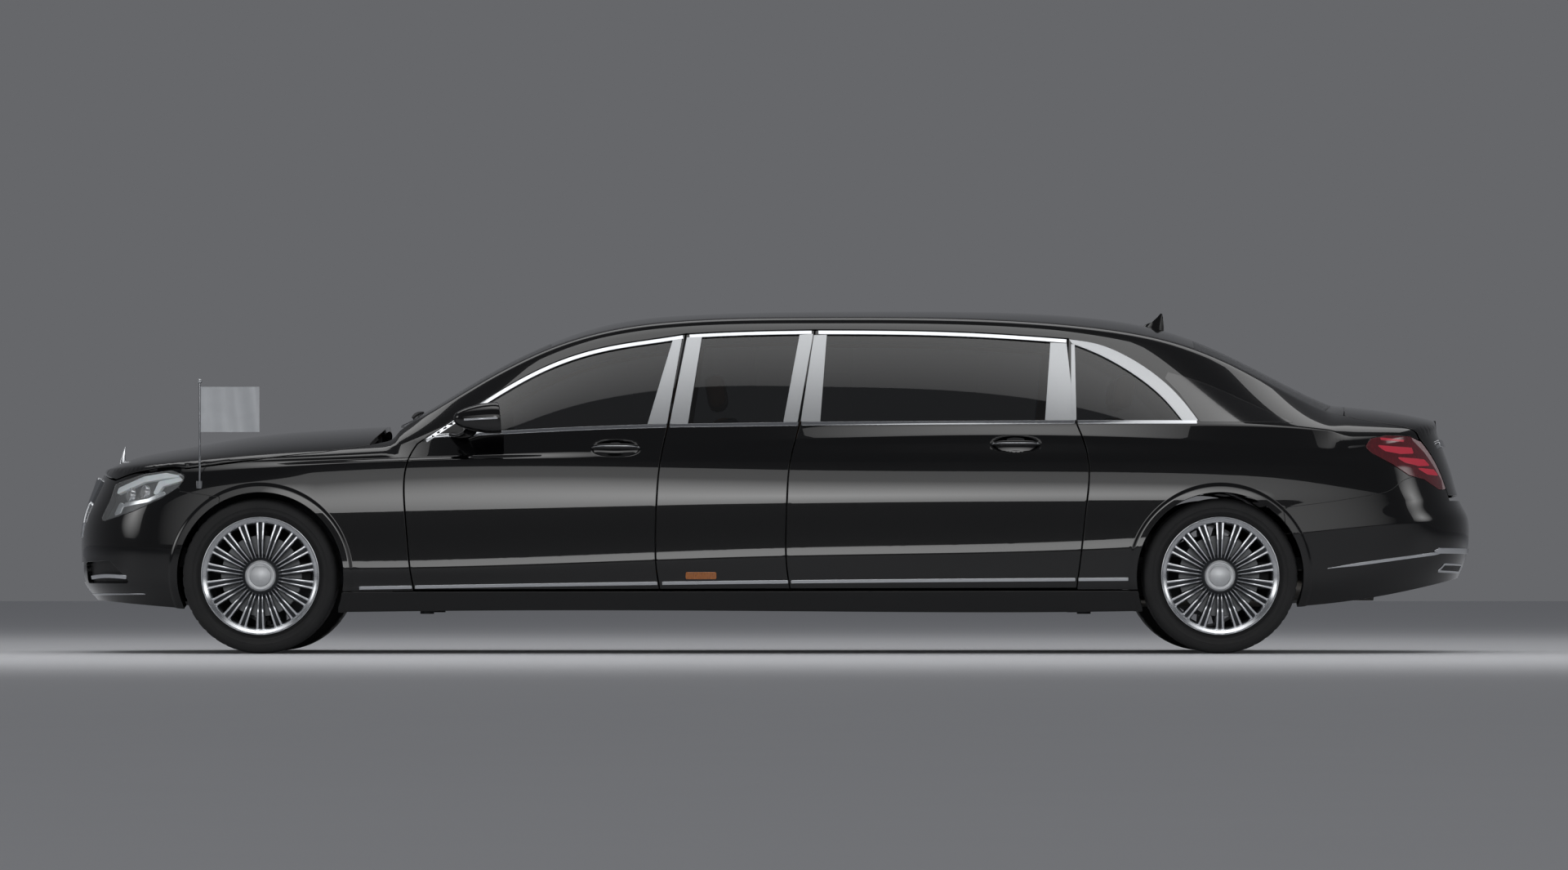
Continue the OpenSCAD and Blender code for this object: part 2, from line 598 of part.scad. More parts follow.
// Floor pan, tunnel, bulkheads, boot floor and the rails that carry the axles
floor_z = 202;
floor_top = 228;
floor_half = wide(779);
rear_half = wide(560);
boot_floor_z = 420;
shelf_z = 990;
rail_y = 420;
rear_rail_z = 386;
engine_z = 320;
module underbody() color("#26282b") union() {
    translate([fa + 60, -rail_y, engine_z - 40]) cube([90, 2 * rail_y, 40 - seam]);
    translate([fa + 600, -floor_half, floor_z]) cube([ra - fa - 1050, 2 * floor_half, floor_top - floor_z]);
    translate([fa + 600, -140, floor_z]) cube([ra - fa - 1050, 280, 170]);
    translate([fa + 600, -floor_half, floor_z]) cube([24, 2 * floor_half, 730]);
    translate([ra - 460, -rear_half, floor_z]) cube([24, 2 * rear_half, boot_floor_z - floor_z + 24]);
    translate([ra - 460, -rear_half, boot_floor_z]) cube([1440, 2 * rear_half, 24]);
    translate([ra - 330, -rear_half, boot_floor_z]) cube([24, 2 * rear_half, shelf_z - boot_floor_z + 20]);
    translate([ra - 330, -rear_half, shelf_z]) cube([970, 2 * rear_half, 20]);
    for (s = [-1, 1]) {
        translate([fa - 690, s * rail_y - 30, 400]) cube([1300, 60, 90]);
        translate([ra - 460, s * rail_y - 30, rear_rail_z]) cube([1400, 60, boot_floor_z - rear_rail_z]);
        translate([fa + 60, s * rail_y - 30, engine_z - 40]) cube([90, 60, 130]);
        for (x = [fa + 760, ra - 620]) translate([x, s * (floor_half - 79), 182]) cylinder(r = 32, h = 30);
    }
}
// Beams inside the bumpers that carry them on the rails
module crash_beams() color("#55585c") joined() intersection() {
    inner_skin(wall + seam, 60);
    union() {
        translate([nose_x, -700, 400]) cube([192 - seam, 1400, 90]);
        translate([ra + 980 + seam, -640, boot_floor_z - 36]) cube([400, 1280, 120]);
    }
}
module engine() color("#303236") translate([fa - 330, -260, engine_z]) cube([820, 520, 520]);

// Front suspension: arms from the rails to the ball pins that the knuckles turn on
king_in = 30;
king_y = track / 2 - king_in;
disc_r = 185;
boss_z = disc_r + 6;
boss_h = 17;
arm_t = 18;
arm_z = boss_z + boss_h + seam;
module arm() union() {
    translate([fa - 26, rail_y + 40, arm_z]) cube([52, king_y - rail_y - 40, arm_t]);
    translate([fa, king_y, arm_z]) cylinder(r = 26, h = arm_t);
    translate([fa, king_y, boss_z - 2]) cylinder(r = 9, h = boss_h + 4);
}
module front_arms() color("#3a3d40") both() mirror([0, 1, 0]) union() {
    for (flip = [0, 1]) translate([0, 0, axle_z]) mirror([0, 0, flip]) arm();
    translate([fa - 40, rail_y + 30 + seam, axle_z - arm_z - arm_t]) cube([80, 30, 2 * (arm_z + arm_t)]);
}
spindle_r = 32;
spindle_fit = 0.05;
module hub_carrier() {
    translate([0, track / 2 + 44, axle_z]) rotate([90, 0, 0]) cylinder(r = spindle_r, h = 104);
    translate([-48, track / 2 - 84, axle_z - 60]) cube([96, 30, 120]);
    difference() {
        translate([120, track / 2 - 60, axle_z - 62]) cube([108, 62, 124]);
        translate([0, track / 2 - 4, axle_z]) rotate([90, 0, 0]) cylinder(r = 192, h = 44);
    }
    translate([40, track / 2 - 84, axle_z - 30]) cube([100, 30, 60]);
}
module knuckle(side) color("#4a4d50") on_side(-side) difference() {
    translate([fa, 0, 0]) union() {
        hub_carrier();
        translate([-26, track / 2 - 84, axle_z - boss_z - boss_h]) cube([52, 30, 2 * (boss_z + boss_h)]);
        for (z = [axle_z - boss_z - boss_h, axle_z + boss_z])
            translate([-22, track / 2 - 60, z]) cube([44, 60 - king_in + 22, boss_h]);
        translate([-130, track / 2 - 84, axle_z - 100]) cube([110, 24, 30]);
    }
    translate([fa, king_y, axle_z - arm_z - 60]) cylinder(r = 9 + spindle_fit, h = 2 * arm_z + 120);
}
module knuckle_left() knuckle(-1);
module knuckle_right() knuckle(1);
module rear_axle() color("#3a3d40") union() {
    for (s = [-1, 1]) on_side(-s) translate([ra, 0, 0]) {
        hub_carrier();
        translate([-22, 120, axle_z - 22]) cube([44, track / 2 - 200, 44]);
        translate([-60, rail_y - 24, axle_z - 90]) cube([120, 48, rear_rail_z - seam - axle_z + 90]);
    }
    translate([ra - 140, -150, axle_z - 110]) cube([280, 300, 160]);
    translate([ra - 60, -rail_y, axle_z - 90]) cube([120, 2 * rail_y, 40]);
}

// Wheels: rim with paired spokes, hub and brake disc
spokes = 18;
module rim() difference() {
    union() {
        rotate_extrude($fn = 72) polygon([
            [rim_r - 26, -116], [rim_r, -116], [rim_r, -106], [rim_r - 15, -98],
            [rim_r - 15, 100], [rim_r, 108], [rim_r, 118], [rim_r - 10, 118], [rim_r - 26, 104],
        ]);
        difference() {
            rotate_extrude($fn = 72) polygon([
                [40, 20], [40, 62], [72, 62], [100, 74], [180, 92], [rim_r - 24, 104],
                [rim_r - 24, 86], [180, 66], [100, 40], [96, 20],
            ]);
            for (i = [0:spokes - 1]) rotate(i * 360 / spokes) linear_extrude(200)
                polygon([[112, -8], [rim_r - 32, -25], [rim_r - 32, 25], [112, 8]]);
        }
        translate([0, 0, -40]) cylinder(r = disc_r, h = 30);
        translate([0, 0, -40]) cylinder(r = 80, h = 110);
    }
    translate([0, 0, -60]) cylinder(r = spindle_r + spindle_fit, h = 60 + 45);
}
// Half section of the tyre from the bead to the tread, and its mirror image
TYRE = [
    [rim_r - 14, 96], [rim_r + 1, 106], [rim_r + 28, 119], [tyre_r - 30, tyre_w / 2], [tyre_r - 12, 116],
    [tyre_r, 98],
];
module tyre() rotate_extrude($fn = 72)
    polygon(concat(TYRE, [for (p = reversed(TYRE)) [p[0], -p[1]]]));
module at_wheel(x, side) translate([x, side * track / 2, axle_z]) rotate([side < 0 ? 90 : -90, 0, 0])
    children();
module wheel_front_left() color(bright) at_wheel(fa, -1) rim();
module wheel_front_right() color(bright) at_wheel(fa, 1) rim();
module wheel_rear_left() color(bright) at_wheel(ra, -1) rim();
module wheel_rear_right() color(bright) at_wheel(ra, 1) rim();
module tyre_front_left() color("#1c1c1c") at_wheel(fa, -1) tyre();
module tyre_front_right() color("#1c1c1c") at_wheel(fa, 1) tyre();
module tyre_rear_left() color("#1c1c1c") at_wheel(ra, -1) tyre();
module tyre_rear_right() color("#1c1c1c") at_wheel(ra, 1) tyre();

// Wheel housings: half rings that close the arches from the engine bay, cabin and boot
liner_gap = 8;
liner_t = 5;
liner_in = rear_half + 5;
module arch_liners() color("#141516") joined() intersection() {
    inner_skin(wall + seam, lid_wall + seam);
    for (x = [fa, ra], s = [-1, 1])
    on_side(s) translate([x, -liner_in, axle_z]) rotate([90, 0, 0]) difference() {
        cylinder(r = arch_r + liner_gap + liner_t, h = half_w - liner_in);
        translate([0, 0, -1]) cylinder(r = arch_r + liner_gap, h = half_w);
        translate([-far, -2 * far, -1]) cube([2 * far, 2 * far, far]);
    }
}

// Cabin
module across(w, y) translate([0, y + w / 2, 0]) rotate([90, 0, 0]) linear_extrude(w) children();
SEAT = [
    [20, 0], [0, 120], [-10, 250], [20, 320], [120, 338], [470, 300], [600, 880], [640, 900], [700, 880],
    [720, 840], [610, 250], [560, 0],
];
HEAD_REST = [[640, 900], [606, 1000], [640, 1064], [700, 1060], [726, 980], [700, 880]];
module seat(x, y, face) translate([x, 0, floor_top + seam]) mirror([face < 0 ? 1 : 0, 0, 0]) {
    across(520, y) polygon(SEAT);
    across(280, y) translate([0, seam]) polygon(HEAD_REST);
}
seat_y = 400;
module front_seats() color("#7d6449") for (y = [-seat_y, seat_y]) seat(fa + 1230, y, 1);
module rear_seats() color("#7d6449") for (y = [-seat_y, seat_y]) seat(ra - 1090, y, 1);
module facing_seats() color("#7d6449") for (y = [-seat_y, seat_y]) seat(fa + 2760, y, -1);
column_r = 24;
column_l = 170;
module at_steering() translate([fa + 1150, -seat_y, 930]) rotate([0, 66, 0]) children();
module dashboard() color("#2a2622") difference() {
    across(2 * wide(700), 0) polygon([
        [fa + 624 + seam, 700], [fa + 624 + seam, 930], [fa + 760, 985], [fa + 1000, 990], [fa + 1060, 960],
        [fa + 1060, 900], [fa + 980, 640], [fa + 760, 560],
    ]);
    at_steering() translate([0, 0, -column_l - seam]) cylinder(r = column_r + seam, h = column_l);
}
module steering_wheel() color("#1a1a1a") at_steering() union() {
    rotate_extrude($fn = 48) translate([180, 0]) circle(r = 15, $fn = 20);
    for (a = [0, 90, 270]) rotate(a) translate([40, -16, -8]) cube([134, 32, 16]);
    translate([0, 0, -20]) cylinder(r = 56, h = 40);
    translate([0, 0, -column_l]) cylinder(r = column_r, h = column_l);
}
module partition() color("#3a332c") translate([fa + 1960, 0, floor_top + seam]) difference() {
    translate([0, -wide(740), 0]) cube([30, 2 * wide(740), 760]);
    translate([-1, -140, -1]) cube([32, 280, 146]);
}
// Exhaust: pipes under the rear axle, silencers and tail pipes
exhaust_y = 250;
silencer_z = 312;
silencer_r = 70;
pipe_r = 24;
pipe_z = 238;
module exhaust() color("#8a8d90") for (s = [-1, 1]) translate([ra, s * exhaust_y, 0]) union() {
    translate([330, 0, silencer_z]) rotate([0, 90, 0]) cylinder(r = silencer_r, h = 420);
    translate([740, 0, silencer_z + 18]) rotate([0, 90, 0]) cylinder(r = pipe_r, h = 190);
    translate([seam - 436, 0, pipe_z]) rotate([0, 90, 0]) cylinder(r = pipe_r, h = 800);
    translate([400, 0, silencer_z]) cylinder(r = 14, h = boot_floor_z - silencer_z - seam);
}

// Handles, mirrors and side markers
handle_h = 26;
handle_l = 225;
module handle(x, z) translate([x, z]) hull() for (s = [-1, 1]) translate([s * (handle_l - handle_h) / 2, 0])
    circle(d = handle_h, $fn = 16);
module handle_bar(side) color(bright) joined() on_side(side) left_half() intersection() {
    layer(26, seam);
    side_cut() children();
}
mirror_x = fa + 1000;
module mirror_head(side) color(paint) on_side(side) joined() difference() {
    union() {
        hull() {
            translate([mirror_x - 60, -half_w - 8, 1070]) sphere(r = 36, $fn = 16);
            translate([mirror_x + 60, -half_w - 8, 1080]) sphere(r = 56, $fn = 16);
            translate([mirror_x - 20, -half_w - 78, 1078]) sphere(r = 38, $fn = 16);
            translate([mirror_x + 66, -half_w - 82, 1082]) sphere(r = 48, $fn = 16);
        }
        hull() {
            translate([mirror_x - 40, -half_w, 1050]) sphere(r = 22, $fn = 12);
            translate([mirror_x - 40, -half_w + 120, 1020]) sphere(r = 22, $fn = 12);
        }
    }
    skin(seam, seam);
}
module front_fittings(side) {
    handle_bar(side) handle(fa + 1636, 946);
    mirror_head(side);
}
module front_fittings_left() front_fittings(-1);
module front_fittings_right() front_fittings(1);
module rear_fittings_left() handle_bar(-1) handle(ra - 940, 965);
module rear_fittings_right() handle_bar(1) handle(ra - 940, 965);
module side_markers() color("#d9701c") for (s = [-1, 1]) joined() on_side(s) left_half() intersection() {
    layer(6, seam);
    side_cut() translate([fa + 1960, 350]) square([138, 32]);
}

// Flag standard on the left wing and aerial on the roof
flag_x = fa - 280;
UPPER_LINE = 4;
function flank_y(j, x) = half_at(j, 0)
    * (1 - (max(0, nose_start - x) / (nose_start - nose_at(j, 0))) ^ nose_n) ^ (1 / nose_n);
flag_y = -flank_y(UPPER_LINE, flag_x) - 4;
flag_foot = line_z(UPPER_LINE, flag_x) - 66;
flag_top = flag_foot + 494;
flag_l = 272;
flag_h = 208;
module flag_staff() color(bright) {
    joined() difference() {
        translate([flag_x, flag_y, flag_foot]) cylinder(r = 16, h = 34, $fn = 24);
        skin(seam, seam);
        translate([flag_x, flag_y, flag_foot + 4]) cylinder(r = 5 + seam, h = 60, $fn = 24);
    }
    translate([flag_x, flag_y, 0]) union() {
        translate([0, 0, flag_foot + 4 + seam]) cylinder(r = 5, h = flag_top - flag_foot - 4);
        translate([0, 0, flag_top]) sphere(r = 11, $fn = 32);
    }
}
module flag() color("#b9bcc0") translate([flag_x + 5 + seam, flag_y - 1, flag_top - 26 - flag_h])
    cube([flag_l, 2, flag_h]);
module aerial() color(paint) joined() difference() {
    translate([ra - 330, 0, up(1500)]) rotate([90, 0, 0]) linear_extrude(34, center = true)
        polygon([[0, 0], [0, 55], [30, 66], [80, 92], [96, 88], [112, 40], [112, 0]]);
    skin(seam, seam);
}

front_door_left();
front_door_right();
rear_door_left();
rear_door_right();
front_glass_left();
front_glass_right();
rear_glass_left();
rear_glass_right();
front_fittings_left();
front_fittings_right();
rear_fittings_left();
rear_fittings_right();
fixed_glass();
mid_panels();
sills();
body_sides();
rear_deck();
side_markers();
cowl();
roof();
windscreen();
rear_window();
fenders();
arch_liners();
bonnet();
headlamps();
front_bumper();
grille();
boot_lid();
tail_lamps();
rear_bumper();
door_hinges();
lid_hinges();
underbody();
crash_beams();
engine();
front_arms();
knuckle_left();
knuckle_right();
rear_axle();
wheel_front_left();
wheel_front_right();
wheel_rear_left();
wheel_rear_right();
tyre_front_left();
tyre_front_right();
tyre_rear_left();
tyre_rear_right();
front_seats();
rear_seats();
facing_seats();
dashboard();
steering_wheel();
partition();
exhaust();
flag_staff();
flag();
aerial();
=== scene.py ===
"""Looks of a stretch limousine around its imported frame: gloss black panels, bright trim, glass, lamps,
wheels and a leather cabin. The front points along -X, the left side along -Y, lengths are in metres."""

import json
import math

import bmesh
import bpy
import numpy as np
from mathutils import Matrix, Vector, kdtree
from mathutils.geometry import delaunay_2d_cdt


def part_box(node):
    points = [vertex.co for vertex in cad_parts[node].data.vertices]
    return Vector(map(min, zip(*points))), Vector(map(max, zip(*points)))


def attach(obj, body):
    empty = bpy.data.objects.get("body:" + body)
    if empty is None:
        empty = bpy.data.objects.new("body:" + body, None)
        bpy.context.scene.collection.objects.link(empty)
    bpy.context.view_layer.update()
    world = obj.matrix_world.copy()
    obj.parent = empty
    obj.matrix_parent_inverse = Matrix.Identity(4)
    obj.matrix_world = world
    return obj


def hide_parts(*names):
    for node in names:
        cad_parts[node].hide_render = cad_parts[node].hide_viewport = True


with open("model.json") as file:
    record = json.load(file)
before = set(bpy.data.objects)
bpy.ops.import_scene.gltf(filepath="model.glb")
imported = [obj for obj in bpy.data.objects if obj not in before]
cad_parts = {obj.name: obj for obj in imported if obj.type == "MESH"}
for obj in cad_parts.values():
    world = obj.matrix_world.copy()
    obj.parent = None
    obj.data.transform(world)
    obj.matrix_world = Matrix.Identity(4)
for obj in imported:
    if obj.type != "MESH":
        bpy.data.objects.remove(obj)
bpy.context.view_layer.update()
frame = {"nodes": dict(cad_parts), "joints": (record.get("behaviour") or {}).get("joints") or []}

# Driving sizes, most of them read from the frame
MM = 0.001
PLACES = {joint["name"]: joint["pos_m"] for joint in frame["joints"]}
FRONT_AXLE, WHEEL_Y, AXLE_Z = PLACES["wheel_front_left_spin"]
WHEEL_Y = abs(WHEEL_Y)
REAR_AXLE = PLACES["wheel_rear_left_spin"][0]
NOSE = FRONT_AXLE - 882 * MM
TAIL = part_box("rear_bumper")[1].x
HALF_W = -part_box("mid_panels")[0].y
ARCH_R = 386 * MM
# Gap round an opening panel, gap beside a fixed one, radius of a rolled edge
SHUT = 5.2 * MM
SEAM = 2.4 * MM
EDGE = 2.2 * MM
SIDES = ((-1, "left"), (1, "right"))


def front(points):
    """Side or plan points in millimetres from the front axle, as metres in the shared frame."""
    return [(FRONT_AXLE + x * MM, z * MM) for x, z in points]


def rear(points):
    """The same from the rear axle."""
    return [(REAR_AXLE + x * MM, z * MM) for x, z in points]


# Curves through points


class Spline:
    """Cubic with continuous curvature through points given at growing stations."""

    def __init__(self, stations, values):
        self.x = np.asarray(stations, float)
        self.y = np.asarray(values, float)
        n = len(self.x)
        h = np.diff(self.x)
        slopes = np.diff(self.y, axis=0) / h.reshape((-1,) + (1,) * (self.y.ndim - 1))
        system = np.eye(n)
        right = np.zeros_like(self.y)
        for i in range(1, n - 1):
            system[i, i - 1 : i + 2] = h[i - 1], 2 * (h[i - 1] + h[i]), h[i]
            right[i] = 6 * (slopes[i] - slopes[i - 1])
        self.bend = np.linalg.solve(system, right)

    def __call__(self, x):
        x = np.clip(np.asarray(x, float), self.x[0], self.x[-1])
        i = np.clip(np.searchsorted(self.x, x, side="right") - 1, 0, len(self.x) - 2)
        h = self.x[i + 1] - self.x[i]
        a = (self.x[i + 1] - x) / h
        b = 1 - a
        if self.y.ndim > 1:
            a, b, h = a[..., None], b[..., None], h[..., None]
        cubic = (a**3 - a) * self.bend[i] + (b**3 - b) * self.bend[i + 1]
        return a * self.y[i] + b * self.y[i + 1] + cubic * h * h / 6


def smooth(points, step=8 * MM):
    """Even samples of a smooth curve through points."""
    p = np.asarray(points, float)
    along = np.concatenate([[0], np.cumsum(np.linalg.norm(np.diff(p, axis=0), axis=1))])
    curve = Spline(along, p)
    return curve(np.linspace(0, along[-1], max(2, int(along[-1] / step) + 1)))


def straight(points, step=8 * MM):
    """Even samples along straight lines between points."""
    p = np.asarray(points, float)
    rows = []
    for a, b in zip(p[:-1], p[1:]):
        count = max(1, int(np.linalg.norm(b - a) / step))
        rows += [a + (b - a) * k / count for k in range(count)]
    return np.array(rows + [p[-1]])


def joined(*lines):
    """One outline from lines that follow each other, without doubled points."""
    p = np.concatenate([np.asarray(line, float) for line in lines])
    keep = np.linalg.norm(p - np.roll(p, 1, axis=0), axis=1) > 0.4 * MM
    return p[keep]


def ring(points, step=8 * MM):
    """A closed outline of straight sides."""
    return joined(straight(list(points) + [points[0]], step))


def grown(outline, by):
    """An outline moved outwards, or inwards where by is below zero."""
    p = np.asarray(outline, float)
    q = np.roll(p, -1, axis=0)
    area = np.sum(p[:, 0] * q[:, 1] - q[:, 0] * p[:, 1])
    along = q - p
    along /= np.linalg.norm(along, axis=1)[:, None]
    out = np.stack([along[:, 1], -along[:, 0]], axis=1) * np.sign(area)
    mean = out + np.roll(out, 1, axis=0)
    mean /= np.linalg.norm(mean, axis=1)[:, None]
    miter = np.maximum(np.sum(mean * out, axis=1), 0.4)
    return p + mean * (by / miter)[:, None]


def rounded(outline, r, step=3 * MM):
    """A closed outline with its corners rounded to radius r."""
    p = np.asarray(outline, float)
    rows = []
    for i in range(len(p)):
        a, b, c = p[i - 1], p[i], p[(i + 1) % len(p)]
        to_a = (a - b) / np.linalg.norm(a - b)
        to_c = (c - b) / np.linalg.norm(c - b)
        half = math.acos(np.clip(np.dot(to_a, to_c), -1, 1)) / 2
        back = min(r / math.tan(half), 0.45 * np.linalg.norm(a - b), 0.45 * np.linalg.norm(c - b))
        count = max(2, int(back / step) + 1)
        for k in range(count + 1):
            t = k / count
            start, end = b + to_a * back, b + to_c * back
            rows.append(start * (1 - t) ** 2 + 2 * b * t * (1 - t) + end * t * t)
    return ring(rows)


# Body lines from the sill up. Columns: seven heights at the stations, inset from the half width,
# set-back from the nose and from the tail, all in millimetres
STATIONS = [NOSE, FRONT_AXLE, FRONT_AXLE + 0.680, (FRONT_AXLE + REAR_AXLE) / 2 + 0.160]
STATIONS += [REAR_AXLE, REAR_AXLE + 0.650, TAIL]
LINES = [
    [255, 190, 190, 190, 200, 250, 362, 88, 72, 45],
    [325, 300, 306, 322, 345, 395, 440, 24, 14, 10],
    [450, 392, 388, 440, 512, 580, 625, 0, 0, 0],
    [610, 632, 645, 690, 706, 708, 708, 3, 8, 40],
    [770, 850, 886, 888, 880, 866, 858, 24, 80, 85],
    [838, 885, 905, 978, 968, 950, 1085, 48, 112, 150],
]
# Inset per height just below and just above each line along the flanks; where they differ there is a crease
LEAN = [(-0.9, -0.75), (-0.18, -0.18), (-0.21, 0.035), (0.012, 0.012), (0.19, 0.32), (0.30, 0.30)]
# Stations where the plan starts to round in at the nose and tail, and how square it stays
NOSE_START, NOSE_ROUND = FRONT_AXLE + 0.250, 3.0
TAIL_START, TAIL_ROUND = REAR_AXLE - 0.100, 3.3
# Bonnet and boot decks. Columns: station from the nearer axle, height in the middle, roundness across
BONNET_DECK = [(-882, 790, 1.75), (-779, 846, 1.75), (-652, 904, 1.75), (-460, 947, 1.75)]
BONNET_DECK += [(-76, 1012, 1.75), (309, 1045, 1.8), (600, 1060, 1.9), (800, 1066, 2.0)]
BOOT_DECK = [(380, 1173, 2.2), (556, 1158, 2.2), (799, 1132, 2.2), (965, 1104, 2.2), (1049, 1086, 2.2)]
BOOT_DECK += [(1199, 1056, 2.2)]
# Canopy. Columns: station from the nearer axle, base inset from the shoulder, base height,
# rail half width, rail height, middle height
CANOPY_FRONT = [
    (587, 60, 955, 690, 1022, 1048),
    (717, 50, 985, 712, 1085, 1117),
    (967, 43, 1008, 668, 1232, 1270),
    (1297, 40, 1030, 622, 1402, 1441),
    (1587, 39, 1040, 598, 1492, 1537),
    (1977, 39, 1050, 586, 1542, 1583),
    (2567, 39, 1055, 581, 1555, 1598),
]
CANOPY_REAR = [
    (-1084, 39, 1057, 578, 1546, 1597),
    (-561, 41, 1057, 572, 1506, 1569),
    (-121, 43, 1057, 562, 1416, 1477),
    (129, 46, 1055, 560, 1312, 1368),
    (349, 50, 1048, 575, 1196, 1256),
    (509, 56, 1035, 600, 1120, 1180),
    (589, 60, 1028, 620, 1092, 1150),
]
# How far the canopy's sides swell at half height
SIDE_BULGE = 16 * MM


def table(rows, axle):
    """Stations of a table as metres, and its other columns as they are."""
    data = np.array(rows, float)
    return axle + data[:, 0] * MM, data[:, 1:]


def step_up(x, low, high):
    """Share from 0 at low to 1 at high, with soft ends."""
    t = np.clip((x - low) / (high - low), 0, 1)
    return t * t * (3 - 2 * t)


class Skin:
    """The left half of the body's outer surface. u runs along the plan outline from the middle of the nose to
    the middle of the tail, v up the section from the sill to the middle of the deck or roof, roughly in
    metres."""

    # v of the body lines, of the canopy's base and rail and of the middle; grid steps and mirrored margin
    ROWS = np.array([0, 0.125, 0.245, 0.49, 0.70, 0.79])
    BASE, RAIL, TOP = 0.88, 1.40, 2.04
    DU, DV, PAD = 0.010, 0.004, 2

    def __init__(self):
        self.nose_length, self.nose_along, self.nose_across = self.rounded_end(NOSE_ROUND, NOSE_START - NOSE)
        self.tail_length, self.tail_along, self.tail_across = self.rounded_end(TAIL_ROUND, TAIL - TAIL_START)
        self.side_length = TAIL_START - NOSE_START
        self.length = self.nose_length + self.side_length + self.tail_length
        self.nu = int(round(self.length / self.DU)) + 1
        self.nv = int(round(self.TOP / self.DV)) + 1
        self.du = self.length / (self.nu - 1)
        self.dv = self.TOP / (self.nv - 1)
        self.grid = self.padded_grid(self.sections())
        self.finders = {}

    @staticmethod
    def rounded_end(n, depth):
        """Length of a superellipse end, and its shares along and across by distance from its start."""
        middle = 0.5 ** (1 / n)
        low = np.linspace(0, middle, 90)
        high = np.linspace(middle, 0, 90)[1:]
        along = np.concatenate([low, (1 - high**n) ** (1 / n)])
        across = np.concatenate([(1 - low**n) ** (1 / n), high])
        steps = np.hypot(np.diff(along) * depth, np.diff(across) * HALF_W)
        distance = np.concatenate([[0], np.cumsum(steps)])
        return distance[-1], Spline(distance, along), Spline(distance, across)

    def sections(self):
        """Points of every section, columns by rows, on the left side."""
        u = np.linspace(0, self.length, self.nu)
        in_nose = u < self.nose_length
        in_tail = u > self.nose_length + self.side_length
        along = np.zeros_like(u)
        across = np.ones_like(u)
        along[in_nose] = self.nose_along(self.nose_length - u[in_nose])
        across[in_nose] = self.nose_across(self.nose_length - u[in_nose])
        back = u[in_tail] - self.nose_length - self.side_length
        along[in_tail] = self.tail_along(back)
        across[in_tail] = self.tail_across(back)
        across = np.maximum(across, 0)
        rows = []
        for line in LINES:
            nose = NOSE + line[8] * MM
            tail = TAIL - line[9] * MM
            x = NOSE_START + (u - self.nose_length)
            x = np.where(in_nose, NOSE_START - (NOSE_START - nose) * along, x)
            x = np.where(in_tail, TAIL_START + (tail - TAIL_START) * along, x)
            y = (HALF_W - line[7] * MM) * across
            rows.append(np.stack([x, y, Spline(STATIONS, line[:7])(x) * MM], axis=1))
        crisp = np.where(u < self.length / 2, 1 - step_up(along, 0.0, 0.35), 1 - step_up(along, 0.55, 0.95))
        grid = np.zeros((self.nu, self.nv, 3))
        v = np.linspace(0, self.TOP, self.nv)
        self.lower_rows(grid, v, rows, crisp)
        for i in range(self.nu):
            self.upper_rows(grid[i], v, rows[-1][i])
        grid = self.softened(grid, v)
        grid[..., 1] *= -1
        return grid

    def lower_rows(self, grid, v, rows, crisp):
        """Fills the flank between the sill and the shoulder with curves that crease at some lines."""
        rise = [b[:, 2:] - a[:, 2:] for a, b in zip(rows[:-1], rows[1:])]
        chord = [(b - a) / h for a, b, h in zip(rows[:-1], rows[1:], rise)]
        lean = []
        for j in range(len(rows)):
            below, above = chord[max(j - 1, 0)], chord[min(j, len(chord) - 1)]
            plain = (below + above) / 2
            pair = []
            for slope in LEAN[j]:
                sharp = plain.copy()
                sharp[:, 0] = 0
                sharp[:, 1] = -slope
                pair.append(plain + (sharp - plain) * crisp[:, None])
            lean.append(pair)
        for j in range(len(rows) - 1):
            inside = np.where((v >= self.ROWS[j] - 1e-9) & (v <= self.ROWS[j + 1] + 1e-9))[0]
            for k in inside:
                t = (v[k] - self.ROWS[j]) / (self.ROWS[j + 1] - self.ROWS[j])
                start = lean[j][1] * rise[j]
                end = lean[j + 1][0] * rise[j]
                point = rows[j] * (2 * t**3 - 3 * t**2 + 1) + rows[j + 1] * (3 * t**2 - 2 * t**3)
                point = point + start * (t**3 - 2 * t**2 + t) + end * (t**3 - t**2)
                point[:, 2:] = rows[j][:, 2:] + rise[j] * t
                grid[:, k] = point

    def upper_rows(self, column, v, shoulder):
        """Fills one column above the shoulder: a deck at the ends, the canopy between."""
        x, y, z = shoulder
        inside = v > self.ROWS[-1] + 1e-9
        share = (v[inside] - self.ROWS[-1]) / (self.TOP - self.ROWS[-1])
        under = step_up(x, FRONT_AXLE + 0.560, FRONT_AXLE + 0.640)
        under = under * (1 - step_up(x, REAR_AXLE + 0.500, REAR_AXLE + 0.610))
        section = 0
        if under < 1:
            section = (1 - under) * self.deck_section(x, y, z, share)
        if under > 0:
            section = section + under * self.canopy_section(x, y, z, v[inside])
        column[inside, 0] = x
        column[inside, 1:] = section

    def deck_section(self, x, y, z, share):
        """Width and height along a deck's section, from the shoulder to the middle."""
        rows, axle = (BONNET_DECK, FRONT_AXLE) if x < 0 else (BOOT_DECK, REAR_AXLE)
        stations, columns = table(rows, axle)
        middle, roundness = Spline(stations, columns)(x)
        angle = np.linspace(0, math.pi / 2, 160)
        wide = y * np.cos(angle) ** (2 / roundness)
        high = z + (middle * MM - z) * np.sin(angle) ** (2 / roundness)
        wide[-1] = 0
        distance = np.concatenate([[0], np.cumsum(np.hypot(np.diff(wide), np.diff(high)))])
        share = share * distance[-1]
        return np.stack([np.interp(share, distance, wide), np.interp(share, distance, high)], axis=1)

